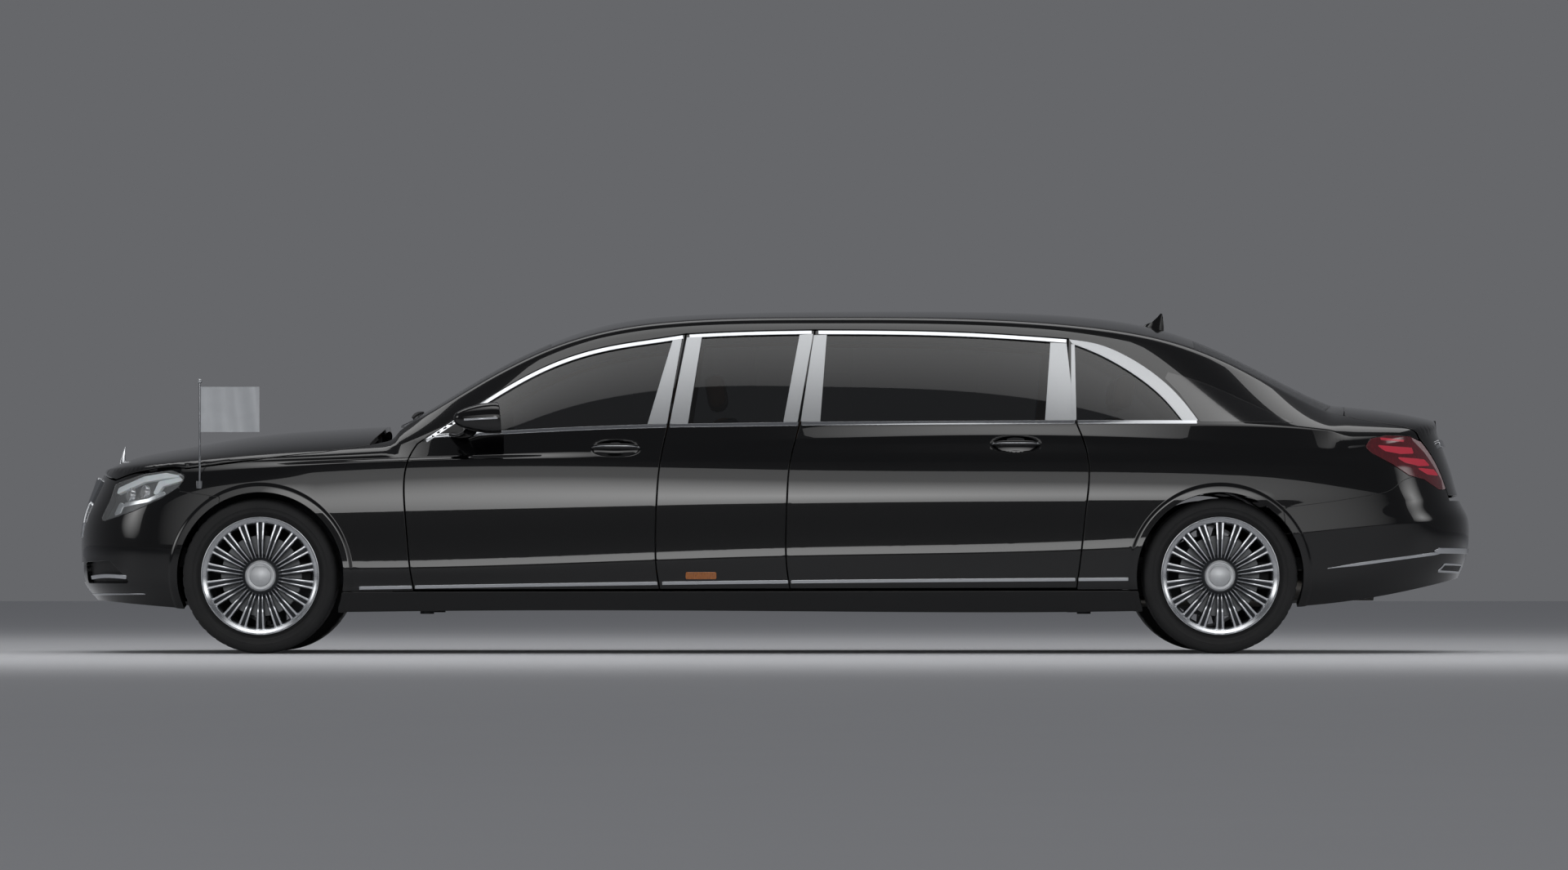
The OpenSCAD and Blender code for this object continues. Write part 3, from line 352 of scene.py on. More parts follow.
    def canopy_section(self, x, y, z, v):
        """Width and height along the canopy's section: shoulder strip, side, roof."""
        stations_front, front_columns = table(CANOPY_FRONT, FRONT_AXLE)
        stations_rear, rear_columns = table(CANOPY_REAR, REAR_AXLE)
        stations = np.concatenate([stations_front, stations_rear])
        columns = np.concatenate([front_columns, rear_columns])
        inset, base_z, rail_y, rail_z, middle = Spline(stations, columns)(x) * MM
        base_y = y - inset
        strip = np.clip((v - self.ROWS[-1]) / (self.BASE - self.ROWS[-1]), 0, 1)
        side = np.clip((v - self.BASE) / (self.RAIL - self.BASE), 0, 1)
        roof = 1 - np.clip((v - self.RAIL) / (self.TOP - self.RAIL), 0, 1)
        wide = np.where(v < self.BASE, y - inset * strip, base_y + (rail_y - base_y) * side)
        wide = wide + SIDE_BULGE * 4 * side * (1 - side)
        high = np.where(v < self.BASE, z + (base_z - z) * strip, base_z + (rail_z - base_z) * side)
        over = v > self.RAIL
        wide[over] = rail_y * roof[over]
        high[over] = rail_z + (middle - rail_z) * (1 - roof[over] ** 2)
        return np.stack([wide, high], axis=1)

    def softened(self, grid, v):
        """Rounds the creases a little and the corner at the roof rail more."""
        fine = self.blurred(grid, 1.3)
        broad = self.blurred(grid, 6.0)
        weight = np.exp(-(((v - self.RAIL) / 0.07) ** 4))[None, :, None]
        return fine * (1 - weight) + broad * weight

    @staticmethod
    def blurred(grid, sigma):
        """The grid averaged up the section; ends reflect so that they keep their place."""
        reach = int(3 * sigma) + 1
        low = 2 * grid[:, :1] - grid[:, reach:0:-1]
        high = grid[:, -2 : -reach - 2 : -1] * np.array([1, -1, 1])
        wide = np.concatenate([low, grid, high], axis=1)
        taps = np.exp(-0.5 * (np.arange(-reach, reach + 1) / sigma) ** 2)
        taps /= taps.sum()
        return sum(w * wide[:, k : k + grid.shape[1]] for k, w in enumerate(taps))

    def padded_grid(self, grid):
        """The grid with mirrored columns and rows past the middle, and straight rows below the sill."""
        flip = np.array([1, -1, 1])
        p = self.PAD
        grid = np.concatenate([grid[p:0:-1] * flip, grid, grid[-2 : -p - 2 : -1] * flip])
        low = 2 * grid[:, :1] - grid[:, p:0:-1]
        return np.concatenate([low, grid, grid[:, -2 : -p - 2 : -1] * flip], axis=1)

    def at(self, uv):
        """Points, and their slopes along u and v."""
        uv = np.asarray(uv, float)
        fu = uv[:, 0] / self.du + self.PAD
        fv = uv[:, 1] / self.dv + self.PAD
        iu = np.clip(np.floor(fu).astype(int), 1, self.grid.shape[0] - 3)
        iv = np.clip(np.floor(fv).astype(int), 1, self.grid.shape[1] - 3)
        wu, su = self.cubic_weights(fu - iu)
        wv, sv = self.cubic_weights(fv - iv)
        point = np.zeros((len(uv), 3))
        slope_u = np.zeros_like(point)
        slope_v = np.zeros_like(point)
        for a in range(4):
            for b in range(4):
                value = self.grid[iu + a - 1, iv + b - 1]
                point += (wu[a] * wv[b])[:, None] * value
                slope_u += (su[a] * wv[b])[:, None] * value
                slope_v += (wu[a] * sv[b])[:, None] * value
        return point, slope_u / self.du, slope_v / self.dv

    @staticmethod
    def cubic_weights(t):
        """Weights of four neighbours for a smooth curve through them, and of its slope."""
        weights = [
            -0.5 * t + t**2 - 0.5 * t**3,
            1 - 2.5 * t**2 + 1.5 * t**3,
            0.5 * t + 2 * t**2 - 1.5 * t**3,
            -0.5 * t**2 + 0.5 * t**3,
        ]
        slopes = [
            -0.5 + 2 * t - 1.5 * t**2,
            -5 * t + 4.5 * t**2,
            0.5 + 4 * t - 4.5 * t**2,
            -t + 1.5 * t**2,
        ]
        return weights, slopes

    def finder(self, view):
        """Tree of surface points as one view sees them: side (x, z), plan (x, y), nose or tail (y, z)."""
        if view not in self.finders:
            u, v = np.meshgrid(
                np.arange(0, self.length, 0.02), np.arange(0, self.TOP + 0.001, 0.012), indexing="ij"
            )
            u, v = u.ravel(), v.ravel()
            if view == "plan":
                keep = v > self.ROWS[3] + 0.004
            elif view == "nose":
                keep = (u < self.nose_length) & (v < self.ROWS[-1] + 0.02)
            elif view == "tail":
                keep = (u > self.nose_length + self.side_length) & (v < self.ROWS[-1] + 0.1)
            else:
                keep = v < self.TOP - 0.1
            uv = np.stack([u[keep], v[keep]], axis=1)
            axes = self.axes(view)
            flat = self.at(uv)[0][:, axes]
            tree = kdtree.KDTree(len(uv))
            for k, p in enumerate(flat):
                tree.insert((p[0], p[1], 0), k)
            tree.balance()
            self.finders[view] = (tree, uv)
        return self.finders[view]

    @staticmethod
    def axes(view):
        return {"side": [0, 2], "plan": [0, 1], "nose": [1, 2], "tail": [1, 2]}[view]

    def locate(self, outline, view="side"):
        """(u, v) of points that a view shows at these places."""
        outline = np.asarray(outline, float)
        tree, known = self.finder(view)
        uv = np.array([known[tree.find((p[0], p[1], 0))[1]] for p in outline])
        axes = self.axes(view)
        for _ in range(10):
            point, slope_u, slope_v = self.at(uv)
            miss = outline - point[:, axes]
            a, b = slope_u[:, axes], slope_v[:, axes]
            det = a[:, 0] * b[:, 1] - a[:, 1] * b[:, 0]
            det = np.where(np.abs(det) < 1e-4, np.where(det < 0, -1e-4, 1e-4), det)
            step_u = (miss[:, 0] * b[:, 1] - miss[:, 1] * b[:, 0]) / det
            step_v = (a[:, 0] * miss[:, 1] - a[:, 1] * miss[:, 0]) / det
            uv = uv + np.clip(np.stack([step_u, step_v], axis=1), -0.03, 0.03)
            uv[:, 0] = np.clip(uv[:, 0], 0, self.length)
            uv[:, 1] = np.clip(uv[:, 1], -0.05, self.TOP)
        return uv

    def place(self, outline, view="side"):
        """Points and outward normals on the skin at places that a view shows."""
        return self.surface(self.locate(outline, view))

    def surface(self, uv):
        """Points and outward normals."""
        point, slope_u, slope_v = self.at(uv)
        normal = np.cross(slope_u, slope_v)
        return point, normal / np.maximum(np.linalg.norm(normal, axis=1), 1e-12)[:, None]


skin = Skin()


# Materials. Colours are sRGB hex values


def linear(code):
    """sRGB hex code as a linear colour."""
    parts = [int(code[i : i + 2], 16) / 255 for i in (1, 3, 5)]
    parts = [c / 12.92 if c <= 0.04045 else ((c + 0.055) / 1.055) ** 2.4 for c in parts]
    return (*parts, 1.0)


def add_node(tree, kind, settings=None, inputs=None):
    """A shader node with its settings, and its inputs set to values or linked to other nodes' outputs."""
    new = tree.nodes.new(kind)
    for key, value in (settings or {}).items():
        setattr(new, key, value)
    for key, value in (inputs or {}).items():
        if isinstance(value, bpy.types.NodeSocket):
            tree.links.new(value, new.inputs[key])
        else:
            new.inputs[key].default_value = value
    return new


def moved_by(made, pattern, rough=None, shades=None, relief=None):
    """Lets a pattern move a material's roughness and colour between two values, and raise its surface:
    relief is a height in millimetres and a strength."""
    tree = made.node_tree
    shader = tree.nodes["Principled BSDF"]
    if rough:
        span = {"Value": pattern, "To Min": rough[0], "To Max": rough[1]}
        node = add_node(tree, "ShaderNodeMapRange", inputs=span)
        tree.links.new(node.outputs["Result"], shader.inputs["Roughness"])
    if shades:
        span = {0: pattern, 6: linear(shades[0]), 7: linear(shades[1])}
        node = add_node(tree, "ShaderNodeMix", {"data_type": "RGBA"}, span)
        tree.links.new(node.outputs[2], shader.inputs["Base Color"])
    if relief:
        span = {"Height": pattern, "Distance": relief[0] * MM, "Strength": relief[1]}
        node = add_node(tree, "ShaderNodeBump", inputs=span)
        tree.links.new(node.outputs["Normal"], shader.inputs["Normal"])


def grained(made, size, detail, stretch=(1, 1, 1), **moves):
    """Noise in blotches about size millimetres across, and what it moves."""
    tree = made.node_tree
    where = add_node(tree, "ShaderNodeTexCoord").outputs["Object"]
    scale = [s / (size * MM) for s in stretch]
    where = add_node(tree, "ShaderNodeMapping", inputs={"Vector": where, "Scale": scale}).outputs["Vector"]
    inputs = {"Vector": where, "Scale": 1.0, "Detail": detail}
    moved_by(made, add_node(tree, "ShaderNodeTexNoise", inputs=inputs).outputs["Fac"], **moves)


def finish(name, colour, *grains, **sockets):
    """A material with one principled shader and its grains of noise; sockets are the shader's inputs by name,
    with underscores for spaces."""
    made = bpy.data.materials.new(name)
    made.use_nodes = True
    shader = made.node_tree.nodes["Principled BSDF"]
    shader.inputs["Base Color"].default_value = linear(colour)
    for key, value in sockets.items():
        shader.inputs[key.replace("_", " ")].default_value = value
    for grain in grains:
        grained(made, **grain)
    return made


# Sprayed and polished black car lacquer: a deep black under a clear coat that mirrors the room
LACQUER = finish(
    "black_lacquer", "#040405", dict(size=350, detail=3, rough=(0.16, 0.24)),
    Specular_IOR_Level=0.05, Coat_Weight=1.0, Coat_Roughness=0.012, Coat_IOR=1.5,
)
# Plated and buffed chrome: a near mirror with faint polishing haze
CHROME = finish("bright_chrome", "#bdbfc2", dict(size=50, detail=3, rough=(0.05, 0.13)), Metallic=1.0)
# Brushed and anodised aluminium cover: a soft silver with fine upright brush lines
SATIN = finish(
    "satin_aluminium", "#b9bbbd",
    dict(size=1.2, detail=2, stretch=(1, 1, 0.02), rough=(0.30, 0.46), shades=("#a9abad", "#c6c8ca")),
    Metallic=1.0,
)
# Privacy glass tinted through: near black, sharp reflections, a dim view in
TINT = finish(
    "tinted_glass", "#0b0d0e", dict(size=400, detail=2, rough=(0.0, 0.03)),
    Alpha=0.80, IOR=1.52, Coat_Weight=0.3, Coat_Roughness=0.01,
)
# Laminated screen glass: lightly tinted, darker than clear, mirror-smooth
SCREEN = finish(
    "screen_glass", "#0d1112", dict(size=400, detail=2, rough=(0.0, 0.03)),
    Alpha=0.62, IOR=1.52, Coat_Weight=0.3, Coat_Roughness=0.01,
)
# Extruded rubber blade: dull black with a dusty bloom
SEAL = finish("black_rubber", "#0c0c0c", dict(size=30, detail=4, rough=(0.55, 0.8)))
# Moulded tyre rubber: dark grey-black, slightly dusty, fine mould texture
TYRE = finish(
    "tyre_rubber", "#0e0e0f",
    dict(size=60, detail=5, rough=(0.55, 0.78), shades=("#0b0b0c", "#161617")),
    dict(size=1.5, detail=2, relief=(0.15, 0.4)),
)
# Moulded black plastic with a fine leather-like grain, about 1.5 mm across
PLASTIC = finish(
    "grained_plastic", "#101011",
    dict(size=1.5, detail=3, relief=(0.2, 0.5)),
    dict(size=20, detail=3, rough=(0.42, 0.6)),
)
# Piano-black moulded trim: deep black, polished
PIANO = finish(
    "gloss_plastic", "#070708", dict(size=100, detail=3, rough=(0.06, 0.14)),
    Coat_Weight=0.6, Coat_Roughness=0.03,
)
# Polycarbonate lamp cover: water clear with a hard coat
CLEAR = finish(
    "clear_lens", "#f4f7f8", dict(size=200, detail=2, rough=(0.0, 0.03)),
    Alpha=0.16, IOR=1.58, Coat_Weight=1.0, Coat_Roughness=0.01,
)
# Moulded red acrylic over dark pockets: a deep wine red with fine upright flutes
RED = finish(
    "red_lens", "#571019",
    dict(size=8, detail=2, stretch=(1, 1, 0.15), rough=(0.08, 0.2), shades=("#430b13", "#701823")),
    IOR=1.49, Coat_Weight=1.0, Coat_Roughness=0.01,
)
# Pale acrylic at the lamp's rear edge: a pinkish grey with fine upright flutes
ROSE = finish(
    "rose_lens", "#a58789",
    dict(size=8, detail=2, stretch=(1, 1, 0.15), rough=(0.08, 0.2), shades=("#8d6c6f", "#c2aaab")),
    IOR=1.49, Coat_Weight=1.0, Coat_Roughness=0.01,
)
# Moulded amber acrylic: a warm orange with fine upright flutes
AMBER = finish(
    "amber_lens", "#a85a0c",
    dict(size=6, detail=1, stretch=(1, 1, 0.1), rough=(0.12, 0.3), shades=("#854306", "#c67418")),
    IOR=1.49, Coat_Weight=1.0, Coat_Roughness=0.02,
)
# Vacuum-metallised reflector: bright silver with a little haze
REFLECTOR = finish("lamp_reflector", "#dfe3e6", dict(size=10, detail=3, rough=(0.12, 0.24)), Metallic=1.0)
# Opal diffuser over the lamp's diodes: milky white plastic
LIGHT_BAR = finish(
    "lamp_light_bar", "#eef2f4", dict(size=10, detail=2, rough=(0.25, 0.4)),
    Subsurface_Weight=0.2, Coat_Weight=0.5,
)
# Red diffuser bar moulded into the tail lens: brighter red, satin
RED_BAR = finish(
    "red_diffuser", "#d8344a", dict(size=4, detail=2, stretch=(1, 0.1, 1), rough=(0.25, 0.45)),
    Coat_Weight=0.4,
)
# Polished and lacquered alloy: bright silver, its polish uneven in patches about 4 mm across
ALLOY = finish(
    "polished_alloy", "#c9cbce", dict(size=4, detail=3, rough=(0.14, 0.28)), Metallic=1.0, Coat_Weight=0.3
)
# Painted graphite grey of the wheel's pockets and barrel
GRAPHITE = finish("graphite_alloy", "#2c2e31", dict(size=20, detail=3, rough=(0.35, 0.5)), Metallic=0.7)
# Turned grey iron of the brake disc: a dull shine, uneven in patches about 3 mm across
IRON = finish("cast_iron", "#6c6e70", dict(size=3, detail=3, rough=(0.3, 0.5)), Metallic=1.0)
# Underseal and e-coat on pressed steel: dark, dull, a little patchy
CHASSIS = finish(
    "chassis_metal", "#1d1f21",
    dict(size=120, detail=5, rough=(0.5, 0.75), shades=("#18191b", "#2a2c2e")),
    Metallic=0.2,
)
# Stainless exhaust: dull silver with heat tint patches
STEEL = finish(
    "exhaust_steel", "#8d8a85",
    dict(size=150, detail=4, rough=(0.3, 0.5), shades=("#7a736a", "#9a9a98")),
    Metallic=1.0,
)
# Nappa leather, saddle tan: soft sheen, pebble grain drawn 3 mm wide so that it shows
TAN = finish(
    "tan_leather", "#8a6242",
    dict(size=3, detail=4, rough=(0.42, 0.58), relief=(0.4, 0.5)),
    dict(size=200, detail=4, shades=("#7c5638", "#96704e")),
    Sheen_Weight=0.1,
)
# Dark brown leather over the dashboard and chair sides, with the same grain
BROWN = finish(
    "dark_leather", "#241c17", dict(size=3, detail=4, rough=(0.45, 0.6), relief=(0.4, 0.5))
)
# Cut-pile carpet: brown, matt, tufts about 4 mm across
CARPET = finish(
    "cabin_carpet", "#3a2c22",
    dict(size=4, detail=3, shades=("#2e221a", "#47372b"), relief=(2, 0.6)),
    Roughness=0.95, Sheen_Weight=0.4,
)
# Napped suede cloth lining: pale grey-beige, matt
LINING = finish(
    "roof_lining", "#8f8778",
    dict(size=6, detail=4, shades=("#857d6f", "#999182"), relief=(0.4, 0.4)),
    Roughness=0.9, Sheen_Weight=0.3,
)


def woven_satin():
    """Woven silver satin: pale grey with a soft sheen, threads drawn 1.5 mm apart so that they show."""
    made = finish(
        "flag_satin", "#b9bcc0", dict(size=80, detail=3, shades=("#aeb1b5", "#c4c7ca")),
        Sheen_Weight=0.4, Sheen_Roughness=0.4, Metallic=0.25,
    )
    tree = made.node_tree
    where = add_node(tree, "ShaderNodeTexCoord").outputs["Object"]
    threads = {"Vector": where, "Scale": 1 / (1.5 * MM) / 6.28, "Distortion": 0.4, "Detail": 1.0}
    weave = add_node(tree, "ShaderNodeTexWave", {"bands_direction": "Z"}, threads)
    moved_by(made, weave.outputs["Fac"], rough=(0.36, 0.5), relief=(0.1, 0.3))
    return made


SATIN_CLOTH = woven_satin()


# Meshes


class Build:
    """Points, faces, face materials and normals gathered for one piece."""

    def __init__(self):
        self.points, self.faces, self.slots, self.normals = [], [], [], []
        self.materials = []

    def slot(self, made):
        if made not in self.materials:
            self.materials.append(made)
        return self.materials.index(made)

    def add(self, points, faces, made, normals=None):
        """Adds a mesh; normals is None where Blender works them out."""
        start = len(self.points)
        self.points += [tuple(p) for p in points]
        self.normals += [(0, 0, 0)] * len(points) if normals is None else [tuple(n) for n in normals]
        self.faces += [tuple(start + k for k in face) for face in faces]
        slots = made if isinstance(made, list) else [made] * len(faces)
        self.slots += [self.slot(m) for m in slots]

    def put(self, mesh, side=0):
        """Adds a mesh made for the left side: there, or mirrored to the right, or on both sides."""
        points, faces, made, normals = mesh
        if side <= 0:
            self.add(points, faces, made, normals)
        if side >= 0:
            flip = np.array([1, -1, 1])
            back = [tuple(reversed(face)) for face in faces]
            self.add(np.asarray(points) * flip, back, made,
                     None if normals is None else np.asarray(normals) * flip)
        return self

    def piece(self, name, body, slot, replaces=(), smooth_angle=35):
        """The object on its body. Without given normals, edges past smooth_angle degrees stay sharp."""
        mesh = bpy.data.meshes.new(name)
        mesh.from_pydata(self.points, [], self.faces)
        for made in self.materials:
            mesh.materials.append(made)
        mesh.polygons.foreach_set("material_index", self.slots)
        mesh.polygons.foreach_set("use_smooth", [True] * len(self.faces))
        mesh.validate()
        mesh.update()
        given = np.nan_to_num(np.array(self.normals, float))
        if len(given) and np.any(given):
            own = np.zeros(len(given) * 3)
            mesh.vertices.foreach_get("normal", own)
            own = own.reshape(-1, 3)
            blank = ~np.any(given, axis=1)
            given[blank] = own[blank]
            mesh.normals_split_custom_set_from_vertices([tuple(n) for n in given])
        else:
            form = bmesh.new()
            form.from_mesh(mesh)
            bmesh.ops.recalc_face_normals(form, faces=form.faces)
            form.to_mesh(mesh)
            form.free()
            mesh.set_sharp_from_angle(angle=math.radians(smooth_angle))
        made = bpy.data.objects.new(name, mesh)
        bpy.context.scene.collection.objects.link(made)
        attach(made, body)
        if replaces:
            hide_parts(*replaces)
        return made


def inside(points, outline):
    """Which points lie in a closed outline."""
    hit = np.zeros(len(points), bool)
    x, y = points[:, 0], points[:, 1]
    for (ax, ay), (bx, by) in zip(outline, np.roll(outline, -1, axis=0)):
        if ay == by:
            continue
        across = (ay > y) != (by > y)
        hit ^= across & (x < (bx - ax) * (y - ay) / (by - ay) + ax)
    return hit


def triangles(outer, cuts, grid):
    """Points and faces of the region in outer and outside the cuts, with grid points inside it."""
    outlines = [np.asarray(o, float) for o in [outer, *cuts]]
    points, edges = [], []
    for outline in outlines:
        start = len(points)
        points += [Vector(p) for p in outline]
        edges += [(start + k, start + (k + 1) % len(outline)) for k in range(len(outline))]
    border = np.concatenate(outlines)
    tree = kdtree.KDTree(len(border))
    for k, p in enumerate(border):
        tree.insert((p[0], p[1], 0), k)
    tree.balance()
    keep = inside(grid, outlines[0])
    for cut in outlines[1:]:
        keep &= ~inside(grid, cut)
    points += [Vector(p) for p in grid[keep] if tree.find((p[0], p[1], 0))[2] > 5 * MM]
    flat, _, faces, *_ = delaunay_2d_cdt(points, edges, [], 0, 1e-6)
    flat = np.array([tuple(p) for p in flat])
    faces = np.array([f for f in faces if len(f) == 3])
    middle = flat[faces].mean(axis=1)
    keep = inside(middle, outlines[0])
    for cut in outlines[1:]:
        keep &= ~inside(middle, cut)
    faces = faces[keep]
    a, b, c = (flat[faces[:, k]] for k in range(3))
    turn = (b[:, 0] - a[:, 0]) * (c[:, 1] - a[:, 1]) - (b[:, 1] - a[:, 1]) * (c[:, 0] - a[:, 0])
    faces = faces[np.abs(turn) > 1e-10]
    turn = turn[np.abs(turn) > 1e-10]
    faces[turn < 0] = faces[turn < 0][:, ::-1]
    used, index = np.unique(faces, return_inverse=True)
    return flat[used], index.reshape(-1, 3)


def border_loops(faces):
    """Loops of border points, each in the order that keeps the faces on its left."""
    edges = {}
    for face in faces:
        for a, b in zip(face, np.roll(face, -1)):
            edges[(a, b)] = True
    following = {a: b for a, b in edges if (b, a) not in edges}
    loops = []
    while following:
        a = next(iter(following))
        loop = []
        while a in following:
            loop.append(a)
            a = following.pop(a)
        loops.append(loop)
    return loops


def lines_between(low, high, step, creases=()):
    """Even stations, closer together beside creases."""
    rows = list(np.arange(low + step / 2, high, step))
    for crease in creases:
        rows = [r for r in rows if abs(r - crease) > 11 * MM]
        rows += [crease + k * 3.5 * MM for k in range(-3, 4)]
    return sorted(r for r in rows if low < r < high)


def panel(outer, cuts=(), made=LACQUER, back=None, lift=0.0, depth=12 * MM, edge=EDGE, step=20 * MM,
          plan=False, middle=False, lips=False, shape=None, columns=()):
    """A pressed panel on the skin: outer and cuts are outlines in (u, v), or in (x, y) where plan is set.
    Its edges roll over and run depth inwards; back is the material of a closed back. With middle, its
    border on the middle plane stays open. lips presses the wheel arch lips, shape moves points and
    normals, and columns are added grid stations."""
    outer = np.asarray(outer, float)
    low, high = outer.min(axis=0), outer.max(axis=0)
    creases = () if plan else skin.ROWS[[2, 4, 5]]
    across = sorted([*lines_between(low[0], high[0], step), *columns])
    rows = lines_between(low[1], high[1], step, creases)
    grid = np.stack(np.meshgrid(across, rows, indexing="ij"), axis=-1).reshape(-1, 2)
    if lips:
        grid = with_lips(grid)
    flat, faces = triangles(outer, cuts, grid)
    uv = skin.locate(flat, "plan") if plan else flat
    points, normals = skin.surface(uv)
    if plan:
        points[:, :2] = flat
    if lips:
        points, normals = flared(points, normals)
    if shape:
        points, normals = shape(points, normals)
    points = points + normals * lift
    return solid(points, normals, faces, made, back, depth, edge, middle)


def solid(points, normals, faces, made, back, depth, edge, middle=False):
    """Gives a skin rolled edges, a return of that depth and, if asked, a closed back."""
    loops = border_loops(faces)
    all_points, all_normals = [points], [normals]
    all_faces = [tuple(f) for f in faces]
    all_made = [made] * len(faces)
    count = len(points)
    last_of, stays_open = {}, {}
    for loop in loops:
        p, n = points[loop], normals[loop]
        ahead = np.roll(p, -1, axis=0) - p
        out = np.cross(ahead, n)
        out /= np.maximum(np.linalg.norm(out, axis=1), 1e-9)[:, None]
        mean = out + np.roll(out, 1, axis=0)
        mean /= np.maximum(np.linalg.norm(mean, axis=1), 1e-9)[:, None]
        is_open = (np.abs(p[:, 1]) < 0.2 * MM) & middle
        rings = [np.array(loop)]
        for k in (1, 2, 3, 4):
            turn = math.pi / 2 * min(k, 3) / 3
            sunk = edge * (1 - math.cos(turn)) if k < 4 else depth
            place = p + mean * edge * math.sin(turn) - n * sunk
            facing = n * math.cos(turn) + mean * math.sin(turn)
            place[is_open] = p[is_open] - n[is_open] * sunk
            all_points.append(place)
            all_normals.append(facing)
            rings.append(np.arange(count, count + len(loop)))
            count += len(loop)
        for near, far in zip(rings[:-1], rings[1:]):
            for k in range(len(loop)):
                m = (k + 1) % len(loop)
                if not (is_open[k] and is_open[m]):
                    all_faces.append((near[k], far[k], far[m], near[m]))
                    all_made.append(made)
        last_of.update(zip(loop, rings[-1]))
        stays_open.update(zip(loop, is_open))
    if back is not None:
        all_points.append(points - normals * depth)
        all_normals.append(-normals)
        all_faces += [tuple(count + k for k in face[::-1]) for face in faces]
        all_made += [back] * len(faces)
        for loop in loops:
            for a, b in zip(loop, np.roll(loop, -1)):
                if not (stays_open[a] and stays_open[b]):
                    all_faces.append((last_of[a], count + a, count + b, last_of[b]))
                    all_made.append(back)
    return np.concatenate(all_points), all_faces, all_made, np.concatenate(all_normals)


# Outlines of the panels in the side view

HALF_SHUT = SHUT / 2 + EDGE
HALF_SEAM = SEAM / 2 + EDGE


def outline(*lines):
    """A closed outline from lines that follow each other."""
    whole = np.concatenate([np.asarray(line, float) for line in lines])
    return joined(whole, straight([whole[-1], whole[0]]))


def flank(points):
    """Side-view points as (u, v)."""
    return skin.locate(points, "side")


def on_plan(points):
    """Plan points, given as x and half width, on the left side."""
    return [(x, -abs(y)) for x, y in points]


def strip_along(line, near, far):
    """Outline between two offsets of a line, measured to its right."""
    p = np.asarray(line, float)
    along = np.gradient(p, axis=0)
    along /= np.linalg.norm(along, axis=1)[:, None]
    right = np.stack([along[:, 1], -along[:, 0]], axis=1)
    return outline(p + right * near, (p + right * far)[::-1])


def between(line, low, high):
    """The stretch of a line with x between low and high."""
    p = np.asarray(line)
    return p[(p[:, 0] >= low) & (p[:, 0] <= high)]


def arch(axle, r=ARCH_R):
    """A wheel arch as (u, v), closed below the sill."""
    turn = np.radians(np.linspace(-22, 202, 120))
    uv = flank(np.stack([axle + r * np.cos(turn), AXLE_Z + r * np.sin(turn)], axis=1))
    return np.concatenate([uv, [(uv[-1, 0], -0.1), (uv[0, 0], -0.1)]])


FRONT_EDGE = smooth(front([(707, 293), (692, 377), (677, 528), (665, 678), (669, 847), (692, 919),
                           (722, 967)]))
B_LINE = smooth(front([(1839, 295), (1824, 385), (1819, 490), (1824, 690), (1840, 878), (1876, 1055),
                       (1957, 1478)]))
C_LINE = smooth(
    rear([(-1980, 297), (-1995, 402), (-1999, 490), (-1993, 716), (-1980, 878), (-1936, 1055), (-1863, 1497)])
)
REAR_EDGE = smooth(
    rear([(-660, 300), (-636, 496), (-617, 671), (-603, 835), (-624, 970), (-660, 1065), (-690, 1456)])
)
ROOF_FRONT = smooth(front([(722, 967), (1015, 1163), (1352, 1347), (1579, 1417), (1855, 1462), (1957, 1478)]))
ROOF_MID = smooth(front([(1957, 1478), (2108, 1486)]) + rear([(-1863, 1497)]))
ROOF_REAR = smooth(rear([(-1863, 1497), (-1380, 1493), (-1005, 1478), (-690, 1456)]))
DOOR_FRONT = flank(outline(FRONT_EDGE, ROOF_FRONT, B_LINE[::-1]))
MIDDLE = flank(outline(B_LINE, ROOF_MID, C_LINE[::-1]))
DOOR_REAR = flank(outline(C_LINE, ROOF_REAR, REAR_EDGE[::-1]))
HEADLAMP = flank(
    rounded(
        front([(-768, 600), (-716, 700), (-689, 786), (-538, 831), (-413, 846), (-341, 820), (-379, 767)])
        + front([(-462, 714), (-594, 657)]),
        26 * MM,
    )
)
TAIL_LAMP = flank(
    rounded(
        rear([(672, 955), (702, 993), (778, 1008), (892, 1004), (957, 978), (1021, 902), (1062, 815),
              (1072, 757)])
        + rear([(1030, 757), (957, 803), (881, 822), (805, 871), (702, 926)]),
        18 * MM,
    )
)
# Window openings
WINDOW_FRONT = outline(
    straight(front([(930, 1016), (930, 1084)])),
    smooth(front([(930, 1084), (1165, 1236), (1352, 1325), (1579, 1396), (1855, 1442), (1896, 1447)])),
    straight(front([(1896, 1447), (1783, 1054)])),
)
WINDOW_MIDDLE = outline(straight(front([(1969, 1056), (2032, 1464)]) + rear([(-1932, 1478), (-2011, 1064)])))
WINDOW_REAR = outline(
    straight(rear([(-1839, 1066), (-1807, 1478)])),
    smooth(rear([(-1807, 1478), (-1380, 1473), (-1005, 1458), (-772, 1441)])),
    straight(rear([(-772, 1441), (-803, 1072)])),
)
QUARTER_ARC = smooth(rear([(-672, 1434), (-580, 1398), (-460, 1336), (-350, 1262), (-255, 1178),
                           (-170, 1074)]))
WINDOW_QUARTER = outline(straight(rear([(-655, 1074), (-672, 1434)])), QUARTER_ARC)

